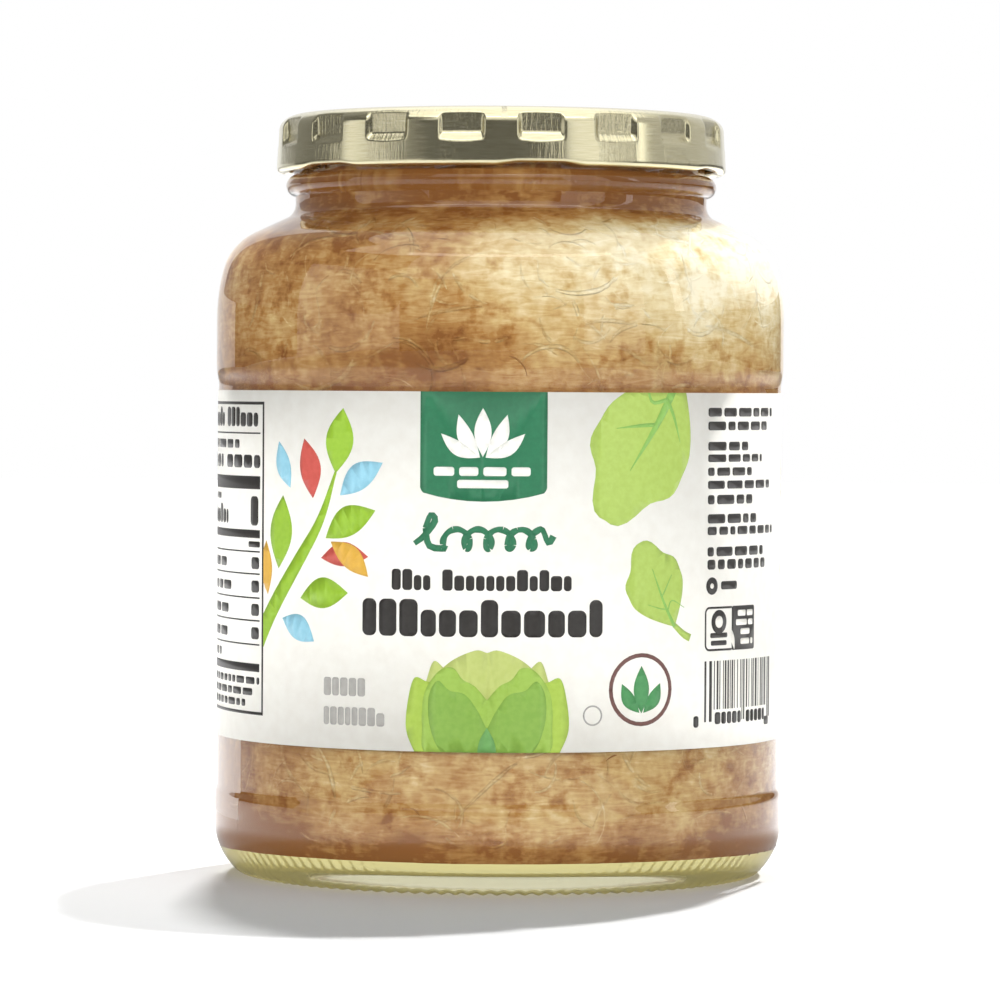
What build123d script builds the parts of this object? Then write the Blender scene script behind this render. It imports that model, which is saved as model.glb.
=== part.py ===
"""Shut 0.95 litre glass jar of sauerkraut with a six-lug twist-off cap and a paper wrap label.

Millimetres, +Z up, origin at the centre of the ring the jar stands on, front towards -Y.
Angles called bearings are counted from the front, positive towards +X.
"""

import os
from math import acos, asin, cos, degrees, radians, sin, tan

from build123d import *

# ---- driving dimensions -------------------------------------------------------------------

# glass, outside
BODY_RADIUS = 53.6  # bumper bands above and below the label
PANEL_DEPTH = 0.45  # label panel, set back from the bumper bands
PANEL_BOTTOM = 16.9
PANEL_TOP = 91.7
PANEL_BLEND_LOW = 2.2  # height of the step from the heel band into the panel
PANEL_BLEND_HIGH = 3.5  # height of the step from the panel to the shoulder band
HEEL_TOP = 9.9
HEEL_RADIUS = 12.7
FOOT_RADIUS = 3.0  # small arc between the heel and the bearing ring
SHOULDER_START = 104.5
SHOULDER_RADIUS = 35.3
SHOULDER_TURN = 15.0
CROWN_RADIUS = 10.8
CROWN_END = 65.0  # surface normal's angle above the horizontal where the crown ends
NECK_RADIUS = 38.85
NECK_BLEND = 2.95

# glass, wall and base
WALL = 2.7
INNER_CORNER = 6.9
FLOOR_EDGE = 4.9  # inner floor height where it meets its corner arc
FLOOR_CROWN = 7.8  # inner floor height on the axis, over the push-up
FLOOR_MIDDLE = (24.2, 6.86)  # radius and height halfway along the inner floor's arc
RING_INNER = 45.1
PUSH_UP = 3.1  # height of the push-up on the axis
PUSH_UP_MIDDLE = (24.7, 2.67)
PUSH_UP_EDGE = (41.2, 1.55)  # where the push-up meets the slope down to the bearing ring

# glass, finish
BEAD_RADIUS = 2.05
BEAD_CENTRE = (38.6, 129.5)
FINISH_RADIUS = 38.5
LIP_ROUND = 1.1
THREADS = 6
THREAD_ROUND = 1.15
THREAD_CENTRE = 38.8
THREAD_START = -17.0  # bearing of the low end of the front thread
THREAD_SPAN = 46.0
THREAD_LOW = 132.0
THREAD_HIGH = 136.2

# cap
CAP_TOP = 142.9
SHEET = 0.28
SKIRT_TOP_RADIUS = 42.1
SKIRT_TOP = 139.8
SKIRT_FOOT_RADIUS = 42.4
RIM_RADIUS = 37.7
RIM_INNER = 35.3
PANEL_RIM = 33.7
PANEL_SINK = 1.0
BUTTON_RADIUS = 9.0
BUTTON_FOOT = 9.7  # radius where the button's slope meets the panel
BUTTON_RISE = 0.35
CURL_RADIUS = 0.93
CURL_CENTRE = (41.5, 132.85)
DIMPLES = 18
DIMPLE_WIDTH = 9.1
DIMPLE_LOW = 136.3
DIMPLE_HIGH = 141.1
DIMPLE_FLOOR = 41.2
DIMPLE_CORNER = 1.6
DIMPLE_BLOCK = 3.5  # length of the block that presses a dimple in
SKIRT_CUT = 131.85  # the cap's inside is cut out down to here, just below the skirt
LUGS = 6
LUG_BEARING = 10.0
LUG_WIDTH = 12.2
LUG_REACH = 39.4
LUG_BOTTOM = 132.2
LUG_TOP = 133.0
LUG_ROUND = 0.35

# label and contents
PAPER = 0.15
LABEL_LOW = 26.2
LABEL_HIGH = 90.9
LABEL_LEFT = -102.0
LABEL_RIGHT = 85.5
LABEL_CORNER = 3.9
FILL_LEVEL = 134.9

# ---- derived ------------------------------------------------------------------------------

PANEL_RADIUS = BODY_RADIUS - PANEL_DEPTH
LIP_TOP = CAP_TOP - SHEET


def on_circle(centre, radius, angle):
    """Point of a circle in the profile plane, angle in degrees above the horizontal."""
    return (centre[0] + radius * cos(radians(angle)), centre[1] + radius * sin(radians(angle)))


def arc(centre, radius, start, end):
    """Arc of a circle in the profile plane, through its mid angle."""
    middle = (start + end) / 2
    ThreePointArc(
        on_circle(centre, radius, start),
        on_circle(centre, radius, middle),
        on_circle(centre, radius, end),
    )


def radial_plane(bearing, distance=0.0, height=0.0):
    """Plane facing outwards at a bearing, with its local y up."""
    out = (sin(radians(bearing)), -cos(radians(bearing)), 0)
    across = (cos(radians(bearing)), sin(radians(bearing)), 0)
    centre = (distance * out[0], distance * out[1], height)
    return Plane(origin=centre, x_dir=across, z_dir=out)


def profile_plane(bearing):
    """Plane through the axis at a bearing: local x is the radius, local y is up."""
    out = (sin(radians(bearing)), -cos(radians(bearing)), 0)
    across = (cos(radians(bearing)), sin(radians(bearing)), 0)
    return Plane(origin=(0, 0, 0), x_dir=out, z_dir=(-across[0], -across[1], 0))


# centres of the arcs that the outside and the inside of the wall share
shoulder_centre = (BODY_RADIUS - SHOULDER_RADIUS, SHOULDER_START)
crown_centre = on_circle(shoulder_centre, SHOULDER_RADIUS - CROWN_RADIUS, SHOULDER_TURN)


def neck_centre(inset):
    """Centre of the blend where the straight shoulder slope turns up into the neck."""
    slope_radius, slope_height = on_circle(crown_centre, CROWN_RADIUS - inset, CROWN_END)
    blend = NECK_BLEND + inset
    neck = NECK_RADIUS - inset
    tangent_radius = neck + blend * (1 - cos(radians(CROWN_END)))
    tangent_height = slope_height + (slope_radius - tangent_radius) / tan(radians(CROWN_END))
    return (neck + blend, tangent_height + blend * sin(radians(CROWN_END)))


def shoulder_outline(inset):
    """Shoulder, crown, slope and neck blend, set in from the outside by the inset."""
    arc(shoulder_centre, SHOULDER_RADIUS - inset, 0, SHOULDER_TURN)
    arc(crown_centre, CROWN_RADIUS - inset, SHOULDER_TURN, CROWN_END)
    centre = neck_centre(inset)
    Line(
        on_circle(crown_centre, CROWN_RADIUS - inset, CROWN_END),
        on_circle(centre, NECK_BLEND + inset, 180 + CROWN_END),
    )
    arc(centre, NECK_BLEND + inset, 180 + CROWN_END, 180)


# the inside of the wall is drawn once and used for the glass and for what fills it
inner_radius = BODY_RADIUS - WALL
corner_centre = (inner_radius - INNER_CORNER, FLOOR_EDGE + INNER_CORNER)
neck_inner = NECK_RADIUS - WALL


def inside_outline(level):
    """Inside of the jar from the floor's centre to a level in the neck, closed on the axis."""
    floor_edge = on_circle(corner_centre, INNER_CORNER, -90)
    neck_start = neck_centre(WALL)[1]
    ThreePointArc((0, FLOOR_CROWN), FLOOR_MIDDLE, floor_edge)
    arc(corner_centre, INNER_CORNER, -90, 0)
    Line(on_circle(corner_centre, INNER_CORNER, 0), (inner_radius, SHOULDER_START))
    shoulder_outline(WALL)
    Polyline((neck_inner, neck_start), (neck_inner, level), (0, level), (0, FLOOR_CROWN))


# ---- glass thread -------------------------------------------------------------------------

with BuildPart() as thread:
    climb = THREAD_HIGH - THREAD_LOW
    with BuildLine() as thread_path:
        Helix(
            pitch=climb * 360 / THREAD_SPAN,
            height=climb,
            radius=THREAD_CENTRE,
            center=(0, 0, THREAD_LOW),
        )
    with BuildSketch(Plane(origin=thread_path.line @ 0, z_dir=thread_path.line % 0)):
        Circle(THREAD_ROUND)
    sweep()
    with Locations(thread_path.line @ 0, thread_path.line @ 1):
        Sphere(THREAD_ROUND)

# ---- jar ----------------------------------------------------------------------------------

# the heel arc meets the foot arc where their shared normal points
heel_centre = (BODY_RADIUS - HEEL_RADIUS, HEEL_TOP)
foot_angle = degrees(asin((HEEL_TOP - FOOT_RADIUS) / (HEEL_RADIUS - FOOT_RADIUS)))
foot_centre = on_circle(heel_centre, HEEL_RADIUS - FOOT_RADIUS, -foot_angle)

# where the bead's circle leaves the neck below it and meets the finish above it
bead_low = degrees(acos((NECK_RADIUS - BEAD_CENTRE[0]) / BEAD_RADIUS))
bead_high = degrees(acos((FINISH_RADIUS - BEAD_CENTRE[0]) / BEAD_RADIUS))
bead_start = on_circle(BEAD_CENTRE, BEAD_RADIUS, -bead_low)
bead_end = on_circle(BEAD_CENTRE, BEAD_RADIUS, bead_high)

with BuildPart() as jar:
    with BuildSketch(Plane.XZ):
        with BuildLine():
            # underside: push-up, bearing ring, foot and heel
            ThreePointArc((0, PUSH_UP), PUSH_UP_MIDDLE, PUSH_UP_EDGE)
            Line(PUSH_UP_EDGE, (RING_INNER, 0))
            Line((RING_INNER, 0), (foot_centre[0], 0))
            arc(foot_centre, FOOT_RADIUS, -90, -foot_angle)
            arc(heel_centre, HEEL_RADIUS, -foot_angle, 0)
            # lower band, label panel, upper band
            Line((BODY_RADIUS, HEEL_TOP), (BODY_RADIUS, PANEL_BOTTOM - PANEL_BLEND_LOW))
            Spline(
                (BODY_RADIUS, PANEL_BOTTOM - PANEL_BLEND_LOW),
                (PANEL_RADIUS, PANEL_BOTTOM),
                tangents=[(0, 1), (0, 1)],
            )
            Line((PANEL_RADIUS, PANEL_BOTTOM), (PANEL_RADIUS, PANEL_TOP))
            Spline(
                (PANEL_RADIUS, PANEL_TOP),
                (BODY_RADIUS, PANEL_TOP + PANEL_BLEND_HIGH),
                tangents=[(0, 1), (0, 1)],
            )
            Line((BODY_RADIUS, PANEL_TOP + PANEL_BLEND_HIGH), (BODY_RADIUS, SHOULDER_START))
            shoulder_outline(0)
            # neck, bead, finish and lip
            Line((NECK_RADIUS, neck_centre(0)[1]), bead_start)
            arc(BEAD_CENTRE, BEAD_RADIUS, -bead_low, bead_high)
            Line(bead_end, (FINISH_RADIUS, LIP_TOP - LIP_ROUND))
            arc((FINISH_RADIUS - LIP_ROUND, LIP_TOP - LIP_ROUND), LIP_ROUND, 0, 90)
            Polyline((FINISH_RADIUS - LIP_ROUND, LIP_TOP), (0, LIP_TOP), (0, PUSH_UP))
        make_face()
    revolve(axis=Axis.Z)

    # inside of the wall, then the bore up through the lip
    with BuildSketch(Plane.XZ):
        with BuildLine():
            inside_outline(LIP_TOP)
        make_face()
    revolve(axis=Axis.Z, mode=Mode.SUBTRACT)

    # threads: short ridges that climb towards the right, for the cap's lugs to catch under
    with PolarLocations(0, THREADS, start_angle=THREAD_START - 90):
        add(thread.part)

# ---- cap ----------------------------------------------------------------------------------


def cap_outline(inset):
    """Outside of the cap from its centre to the skirt's foot, set in by the inset."""
    top = CAP_TOP - inset
    panel = top - PANEL_SINK
    button = panel + BUTTON_RISE
    Polyline(
        (0, button),
        (BUTTON_RADIUS, button),
        (BUTTON_FOOT, panel),
        (PANEL_RIM, panel),
        (RIM_INNER, top),
        (RIM_RADIUS, top),
    )
    EllipticalCenterArc(
        (RIM_RADIUS, SKIRT_TOP),
        SKIRT_TOP_RADIUS - RIM_RADIUS - inset,
        top - SKIRT_TOP,
        start_angle=0,
        arc_size=90,
    )
    Line((SKIRT_TOP_RADIUS - inset, SKIRT_TOP), (SKIRT_FOOT_RADIUS - inset, CURL_CENTRE[1]))


def dimple_blocks(growth):
    """Rounded blocks round the skirt that press the grip dimples in, grown on every side."""
    middle = (DIMPLE_HIGH + DIMPLE_LOW) / 2
    bearings = [(number + 0.5) * 360 / DIMPLES for number in range(DIMPLES)]
    with BuildPart() as blocks:
        with BuildSketch(*[radial_plane(bearing, DIMPLE_FLOOR - growth, middle) for bearing in bearings]):
            RectangleRounded(
                DIMPLE_WIDTH + 2 * growth,
                DIMPLE_HIGH - DIMPLE_LOW + 2 * growth,
                DIMPLE_CORNER + growth,
            )
        extrude(amount=DIMPLE_BLOCK)
    return blocks.part


with BuildPart() as cap_inside:
    with BuildSketch(Plane.XZ):
        with BuildLine():
            cap_outline(SHEET)
            Polyline(
                (SKIRT_FOOT_RADIUS - SHEET, CURL_CENTRE[1]),
                (SKIRT_FOOT_RADIUS - SHEET, SKIRT_CUT),
                (0, SKIRT_CUT),
                (0, CAP_TOP - SHEET - PANEL_SINK + BUTTON_RISE),
            )
        make_face()
    revolve(axis=Axis.Z)
    add(dimple_blocks(SHEET), mode=Mode.SUBTRACT)

with BuildPart() as lid:
    with BuildSketch(Plane.XZ):
        with BuildLine():
            cap_outline(0)
            Polyline(
                (SKIRT_FOOT_RADIUS, CURL_CENTRE[1]),
                (0, CURL_CENTRE[1]),
                (0, CAP_TOP - PANEL_SINK + BUTTON_RISE),
            )
        make_face()
    revolve(axis=Axis.Z)
    add(dimple_blocks(0), mode=Mode.SUBTRACT)
    add(cap_inside.part, mode=Mode.SUBTRACT)
    # the skirt's foot is rolled inwards
    with BuildSketch(Plane.XZ):
        with Locations(CURL_CENTRE):
            Circle(CURL_RADIUS)
    revolve(axis=Axis.Z)
    # lugs: stretches of the curl that reach in under the glass threads
    lug_bearings = [LUG_BEARING + number * 360 / LUGS for number in range(LUGS)]
    lug_middle = (LUG_BOTTOM + LUG_TOP) / 2
    with BuildSketch(*[radial_plane(bearing, LUG_REACH, lug_middle) for bearing in lug_bearings]):
        RectangleRounded(LUG_WIDTH, LUG_TOP - LUG_BOTTOM, LUG_ROUND)
    extrude(amount=CURL_CENTRE[0] - LUG_REACH)

# ---- label --------------------------------------------------------------------------------

with BuildPart() as label:
    with BuildSketch(profile_plane(LABEL_LEFT)):
        with Locations((PANEL_RADIUS + PAPER / 2, (LABEL_LOW + LABEL_HIGH) / 2)):
            Rectangle(PAPER, LABEL_HIGH - LABEL_LOW)
    revolve(axis=Axis.Z, revolution_arc=LABEL_RIGHT - LABEL_LEFT)
    # the only short straight edges are the four that cross the paper at its corners
    corners = label.edges().filter_by(GeomType.LINE).filter_by(lambda edge: edge.length < LABEL_CORNER)
    fillet(corners, LABEL_CORNER)

# ---- contents -----------------------------------------------------------------------------

with BuildPart() as sauerkraut:
    with BuildSketch(Plane.XZ):
        with BuildLine():
            inside_outline(FILL_LEVEL)
        make_face()
    revolve(axis=Axis.Z)

# ---- write --------------------------------------------------------------------------------

os.makedirs("parts", exist_ok=True)

jar.part.label = "jar"
lid.part.label = "lid"
label.part.label = "label"
sauerkraut.part.label = "sauerkraut"

export_step(jar.part, "parts/jar.step")
export_step(lid.part, "parts/lid.step")
export_step(label.part, "parts/label.step")
export_step(sauerkraut.part, "parts/sauerkraut.step")
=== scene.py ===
"""Looks of a shut glass jar of sauerkraut: clear glass, packed cabbage, gold cap and printed paper label.

Lengths are millimetres until they become mesh coordinates. Bearings are degrees counted from the front (-Y),
positive towards +X. An outline is a list of (radius, height) points. Print is drawn flat, as outlines of
(along, height) points, with along measured round the label from the front, and is then wrapped.
"""

import random
from math import acos, asin, ceil, cos, degrees, floor, hypot, log, pi, radians, sin, sqrt, tan

import bmesh
import bpy
from mathutils import Matrix, Vector


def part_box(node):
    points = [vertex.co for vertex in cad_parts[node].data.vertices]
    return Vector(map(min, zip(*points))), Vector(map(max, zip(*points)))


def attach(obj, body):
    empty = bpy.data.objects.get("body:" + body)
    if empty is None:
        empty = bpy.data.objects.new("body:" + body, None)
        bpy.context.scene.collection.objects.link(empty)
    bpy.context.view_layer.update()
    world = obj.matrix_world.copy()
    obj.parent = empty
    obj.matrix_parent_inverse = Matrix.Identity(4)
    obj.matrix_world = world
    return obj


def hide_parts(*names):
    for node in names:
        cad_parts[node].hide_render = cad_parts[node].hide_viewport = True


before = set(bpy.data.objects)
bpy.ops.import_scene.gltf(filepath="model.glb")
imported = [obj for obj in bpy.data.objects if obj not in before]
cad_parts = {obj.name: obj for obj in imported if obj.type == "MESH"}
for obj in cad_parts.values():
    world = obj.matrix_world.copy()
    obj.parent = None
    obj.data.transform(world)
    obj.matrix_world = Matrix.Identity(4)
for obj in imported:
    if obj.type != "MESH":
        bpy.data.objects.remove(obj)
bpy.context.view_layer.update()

MM = 0.001
BODY = "root"
ON_AXIS = 0.001  # anything nearer than this, in millimetres, is the same place

# ---- sizes ----------------------------------------------------------------------------------


def corners(node_name):
    """Lowest and highest corner of a CAD node, in millimetres."""
    low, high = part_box(node_name)
    return low / MM, high / MM


# glass, outside
BODY_RADIUS = corners("jar")[1].x
LIP_TOP = corners("jar")[1].z
PANEL_RADIUS = BODY_RADIUS - 0.45  # label panel, set back from the bumper bands
PANEL_BOTTOM = 16.9
PANEL_TOP = 91.7
PANEL_BLEND_LOW = 2.2
PANEL_BLEND_HIGH = 3.5
HEEL_TOP = 9.9
HEEL_RADIUS = 12.7
FOOT_RADIUS = 3.0
SHOULDER_START = 104.5
SHOULDER_RADIUS = 35.3
SHOULDER_TURN = 15.0
CROWN_RADIUS = 10.8
CROWN_END = 65.0
NECK_RADIUS = 38.85
NECK_BLEND = 2.95
BEAD_RADIUS = 2.05
BEAD_CENTRE = (38.6, 129.5)
FINISH_RADIUS = 38.5
LIP_ROUND = 1.1
RING_INNER = 45.1
PUSH_UP = 3.1
PUSH_UP_EDGE = (41.2, 1.55)
SEAM_BEARING = -8.6  # the two halves of the mould meet here and opposite
SEAM_HEIGHT = 0.06
SEAM_WIDTH = 0.35
SEAM_COLUMNS = (-0.45, -0.25, 0.0, 0.25, 0.45)  # bearings of the mesh columns that draw one seam
GLASS_COLUMNS = 600  # enough for five on each groove of the knurl

# glass, inside
INNER_RADIUS = corners("sauerkraut")[1].x
WALL = BODY_RADIUS - INNER_RADIUS
INNER_CORNER = 6.9
FLOOR_EDGE = corners("sauerkraut")[0].z
FLOOR_CROWN = 7.8
FILL_LEVEL = corners("sauerkraut")[1].z

# glass, threads and knurl
THREADS = 6
THREAD_ROUND = 1.15
THREAD_CENTRE = 38.8
THREAD_START = -17.0
THREAD_SPAN = 46.0
THREAD_LOW = 132.0
THREAD_HIGH = 136.2
FINISH_FOOT = 130.8  # threads and lugs are above this
FINISH_BORE = 37.65  # between the two faces of the neck
KNURLS = 120
KNURL_DEPTH = 0.4
KNURL_TOP = 1.3
HEEL_DOTS = (62.0, 66.4, 70.8, 75.2, 84.5)  # bearings of the mould's cavity dots
HEEL_DOT_HEIGHT = 5.6
HEEL_DOT_SIZE = 0.55
HEEL_DOT_RISE = 0.12

# cap
CAP_TOP = corners("lid")[1].z
SHEET = 0.28
SKIRT_TOP_RADIUS = 42.1
SKIRT_TOP = 139.8
SKIRT_FOOT_RADIUS = 42.4
RIM_RADIUS = 37.7
RIM_INNER = 35.3
PANEL_RIM = 33.7
PANEL_SINK = 1.0
BUTTON_RADIUS = 9.0
BUTTON_FOOT = 9.7
BUTTON_RISE = 0.35
CURL_CENTRE = (41.5, 132.85)
CURL_RADIUS = corners("lid")[1].x - CURL_CENTRE[0]
CURL_TOP = 134.05
CURL_INSIDE = 41.2  # below the skirt, what is nearer to the axis than this is the curl's rolled-in end
DIMPLES = 18
DIMPLE_WIDTH = 9.1
DIMPLE_LOW = 135.6
DIMPLE_HIGH = 138.4  # here the dimple is at its full depth
DIMPLE_FLOOR = 41.1
DIMPLE_WALL = 1.0
LUGS = 6
LUG_BEARING = 10.0
LUG_WIDTH = 12.2
LUG_CENTRE = (40.9, 132.6)
LUG_REACH = 1.5
LUG_THICKNESS = 0.42
LUG_LIFT = 0.3

# label
PAPER = 0.15
PAPER_RADIUS = PANEL_RADIUS + PAPER
LABEL_LOW = corners("label")[0].z
LABEL_HIGH = corners("label")[1].z
LABEL_LEFT = -102.0
LABEL_RIGHT = 85.5
LABEL_CORNER = 3.9
PRINT_RISE = 0.8  # the print stands this much above the heights it is drawn at
WRAP_STEP = 2.0  # bearing between the creases that let flat print follow the glass
INK = 0.012  # each ink lies this much above the one below it
CABBAGE_AXIS = -2.0
CABBAGE_FOOT = LABEL_LOW - 0.5 - PRINT_RISE
BIG_LEAF = ((35.5, 94.5), (19.0, 66.2))  # stem and tip
SMALL_LEAF = ((34.2, 47.7), (26.3, 63.5))
TABLE_EDGE = -50.3  # where the ruled table's border ends and the artwork beside it begins
FROM_BEHIND_TABLE = ("print_stem", "print_orange")  # the border cuts these off
CUT_TOLERANCE = 1e-7

# contents: everything reaches a little into the wall, so that no air shows behind the glass
CORE_REACH = 0.15
CORE_RELIEF = 0.12
UNDERSIDE_RADIUS = 48.4  # inside this the underside is a pale half-mirror, painted light for the thick glass base, instead of the cabbage
SHREDS_FOOT = 9.0
SHREDS_TOP = 121.0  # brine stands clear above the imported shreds
CORE_COLUMNS = 400
LEAN_START = 104.0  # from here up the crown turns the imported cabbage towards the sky
LEAN_FULL = 122.0
LEAN_END = 127.0
LEAN = 0.05
# (height, paleness); the neck and the foot hold mostly brine, and the neck's low paleness is also painted
# shade from the cap and bead
PALE_EVERYWHERE = (
    (0, 0.03), (7, 0.04), (11, 0.25), (18, 0.43), (26, 0.45), (86, 0.07), (96, 0.2), (110, 0.3),
    (119, 0.22), (123, 0.11), (134.9, 0.06),
)
# painted light: (height, paleness) added towards +X, where the lamps from the upper right make the shoulder
# look pale
PAINTED_LIGHT_TO_ONE_SIDE = (
    (0, 0.02), (15, 0.06), (86, 0.06), (96, 0.26), (106, 0.5), (116, 0.7), (120, 0.56), (123, 0.06),
    (134.9, 0.0),
)
CABBAGE_TONES = ((0.0, "#85562e"), (0.25, "#a87d4b"), (0.5, "#c6a978"), (0.75, "#dfcfab"), (1.0, "#f3ebda"))

# studio, in metres
LIGHT_AIM = 0.075
CARD_LEVEL = 0.09
TABLE_REACH = 4.0
FADE_START = 0.16
FADE_END = 0.3
TABLE_GREY = 0.72
ROOM_LIGHT = 0.3

# ---- small tools ----------------------------------------------------------------------------


def on_circle(centre, radius, angle):
    """Point of a circle, angle in degrees above the horizontal."""
    return (centre[0] + radius * cos(radians(angle)), centre[1] + radius * sin(radians(angle)))


def arc(centre, radius, start, end, steps):
    """Points of an arc, both ends included."""
    return [on_circle(centre, radius, start + (end - start) * step / steps) for step in range(steps + 1)]


def dome(crown, edge, steps):
    """Points of a shallow dome from its crown on the axis to its edge."""
    radius, height = edge
    parts = [step / steps for step in range(steps + 1)]
    return [(radius * part, crown - (crown - height) * part**2) for part in parts]


def blend_up(start, end, steps):
    """Points of a soft step, upright at both ends."""
    points = []
    for step in range(steps + 1):
        part = step / steps
        ease = part * part * (3 - 2 * part)
        points.append((start[0] + (end[0] - start[0]) * ease, start[1] + (end[1] - start[1]) * part))
    return points


def rise(start, end, steps):
    """Points of a straight stretch."""
    return [
        (start[0] + (end[0] - start[0]) * step / steps, start[1] + (end[1] - start[1]) * step / steps)
        for step in range(steps + 1)
    ]


def joined(*stretches):
    """One outline from stretches that follow each other, without doubled points."""
    outline = []
    for stretch in stretches:
        for point in stretch:
            if not outline or hypot(point[0] - outline[-1][0], point[1] - outline[-1][1]) > ON_AXIS:
                outline.append(point)
    return outline


def linear(hex_colour):
    """Linear RGBA of an sRGB hex colour."""
    channels = [int(hex_colour[place : place + 2], 16) / 255 for place in (1, 3, 5)]
    return tuple(c / 12.92 if c <= 0.04045 else ((c + 0.055) / 1.055) ** 2.4 for c in channels) + (1.0,)


def usable(sockets, key):
    """A socket by its place, or the usable one of that name."""
    if isinstance(key, int):
        return sockets[key]
    return next(one for one in sockets if one.name == key and not one.is_unavailable)


def node(tree, kind, inputs=None, **settings):
    """Add a node, apply its settings, then link or set its inputs. A node given means its first output."""
    made = tree.nodes.new(kind)
    for name, value in settings.items():
        setattr(made, name, value)
    for key, value in (inputs or {}).items():
        target = usable(made.inputs, key)
        if isinstance(value, bpy.types.Node):
            value = next(one for one in value.outputs if not one.is_unavailable)
        if isinstance(value, bpy.types.NodeSocket):
            tree.links.new(value, target)
        else:
            target.default_value = value
    return made


def material(name):
    """New empty material and its tree."""
    made = bpy.data.materials.new(name)
    made.use_nodes = True
    made.node_tree.nodes.clear()
    return made, made.node_tree


def surfaced(made, shader):
    """End a material in its shader."""
    node(made.node_tree, "ShaderNodeOutputMaterial", {"Surface": shader})
    return made


def ramp(tree, factor, stops):
    """Colour ramp over (place, hex) stops."""
    made = node(tree, "ShaderNodeValToRGB", {"Fac": factor})
    elements = made.color_ramp.elements
    for place, _ in stops[2:]:
        elements.new(place)
    for element, (place, colour) in zip(elements, stops):
        element.position = place
        element.color = linear(colour)
    return made


def placed(name, data):
    """New object in the scene, at the origin."""
    made = bpy.data.objects.new(name, data)
    bpy.context.scene.collection.objects.link(made)
    return made


def unseen(made, *rays):
    """Hide an object from some kinds of ray."""
    for kind in rays:
        setattr(made, "visible_" + kind, False)


def thicken(made, thickness):
    """Give a sheet its thickness, on its inner side."""
    wall = made.modifiers.new("Thickness", "SOLIDIFY")
    wall.thickness = thickness * MM
    wall.offset = -1.0
    return made


def turned(name, outline, bearings):
    """Mesh of an outline turned round the axis. An outline that runs up the outside gives outward faces."""
    points, rings, faces = [], [], []
    for radius, height in outline:
        if radius < ON_AXIS:
            rings.append([len(points)])
            points.append((0, 0, height * MM))
            continue
        rings.append(range(len(points), len(points) + len(bearings)))
        for bearing in bearings:
            angle = radians(bearing)
            points.append((radius * MM * sin(angle), -radius * MM * cos(angle), height * MM))
    count = len(bearings)
    for lower, upper in zip(rings, rings[1:]):
        for here in range(count):
            after = (here + 1) % count
            if len(lower) == 1:
                faces.append((lower[0], upper[after], upper[here]))
            elif len(upper) == 1:
                faces.append((lower[here], lower[after], upper[0]))
            else:
                faces.append((lower[here], lower[after], upper[after], upper[here]))
    mesh = bpy.data.meshes.new(name)
    mesh.from_pydata(points, [], faces)
    mesh.shade_smooth()
    return mesh


SOCKETS = {
    float: "NodeSocketFloat", int: "NodeSocketInt", bpy.types.Material: "NodeSocketMaterial",
    bpy.types.Collection: "NodeSocketCollection",
}


def growing(name, sizes):
    """Geometry tree with a named input for each size; gives the tree and those inputs."""
    tree = bpy.data.node_groups.new(name, "GeometryNodeTree")
    tree.interface.new_socket("Geometry", in_out="INPUT", socket_type="NodeSocketGeometry")
    for label, value in sizes.items():
        tree.interface.new_socket(label, in_out="INPUT", socket_type=SOCKETS[type(value)])
    tree.interface.new_socket("Geometry", in_out="OUTPUT", socket_type="NodeSocketGeometry")
    return tree, tree.nodes.new("NodeGroupInput").outputs


def handed_out(tree, shape, surface):
    """End a geometry tree: make its instances real and give them their material."""
    realized = node(tree, "GeometryNodeRealizeInstances", {"Geometry": shape})
    finished = node(tree, "GeometryNodeSetMaterial", {"Geometry": realized, "Material": surface})
    node(tree, "NodeGroupOutput", {"Geometry": finished})
    return tree


def round_the_axis(tree):
    """A point's X, Y and Z, its bearing in radians, its place flat on the table and its radius."""
    where = node(tree, "GeometryNodeInputPosition")
    axes = node(tree, "ShaderNodeSeparateXYZ", {"Vector": where}).outputs
    back = node(tree, "ShaderNodeMath", {0: axes["Y"], 1: -1.0}, operation="MULTIPLY")
    turn = node(tree, "ShaderNodeMath", {0: axes["X"], 1: back}, operation="ARCTAN2")
    flat = node(tree, "ShaderNodeCombineXYZ", {"X": axes["X"], "Y": axes["Y"]})
    return axes, turn, flat, node(tree, "ShaderNodeVectorMath", {0: flat}, operation="LENGTH")


def set_round(tree, shape, axes, radius, new_radius, new_height):
    """Move points to a new radius and height at the same bearing; those on the axis stay."""
    growth = node(tree, "ShaderNodeMath", {0: new_radius, 1: radius}, operation="DIVIDE")
    moved_x = node(tree, "ShaderNodeMath", {0: axes["X"], 1: growth}, operation="MULTIPLY")
    moved_y = node(tree, "ShaderNodeMath", {0: axes["Y"], 1: growth}, operation="MULTIPLY")
    place = node(tree, "ShaderNodeCombineXYZ", {"X": moved_x, "Y": moved_y, "Z": new_height})
    off_axis = node(tree, "ShaderNodeMath", {0: radius, 1: 1e-5}, operation="GREATER_THAN")
    return node(
        tree, "GeometryNodeSetPosition", {"Geometry": shape, "Selection": off_axis, "Position": place}
    )


def grown(name, base, tree, sizes):
    """Run a geometry tree on a base mesh and keep the result as a plain piece."""
    carrier = placed(name + ".base", base)
    modifier = carrier.modifiers.new("Grow", "NODES")
    modifier.node_group = tree
    for item in tree.interface.items_tree:
        if item.in_out == "INPUT" and item.name in sizes:
            modifier[item.identifier] = sizes[item.name]
    depsgraph = bpy.context.evaluated_depsgraph_get()
    mesh = bpy.data.meshes.new_from_object(
        carrier.evaluated_get(depsgraph), preserve_all_data_layers=True, depsgraph=depsgraph
    )
    bpy.data.objects.remove(carrier)
    return placed(name, mesh)


# ---- materials ------------------------------------------------------------------------------


def flint_glass():
    """Clear soda-lime container glass, blown: bright and smooth, faintly yellow-green where it is thick."""
    made, tree = material("flint_glass")
    shader = node(
        tree,
        "ShaderNodeBsdfPrincipled",
        {"Base Color": linear("#f8fbf0"), "Roughness": 0.01, "IOR": 1.52, "Transmission Weight": 1.0},
    )
    return surfaced(made, shader)


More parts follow.
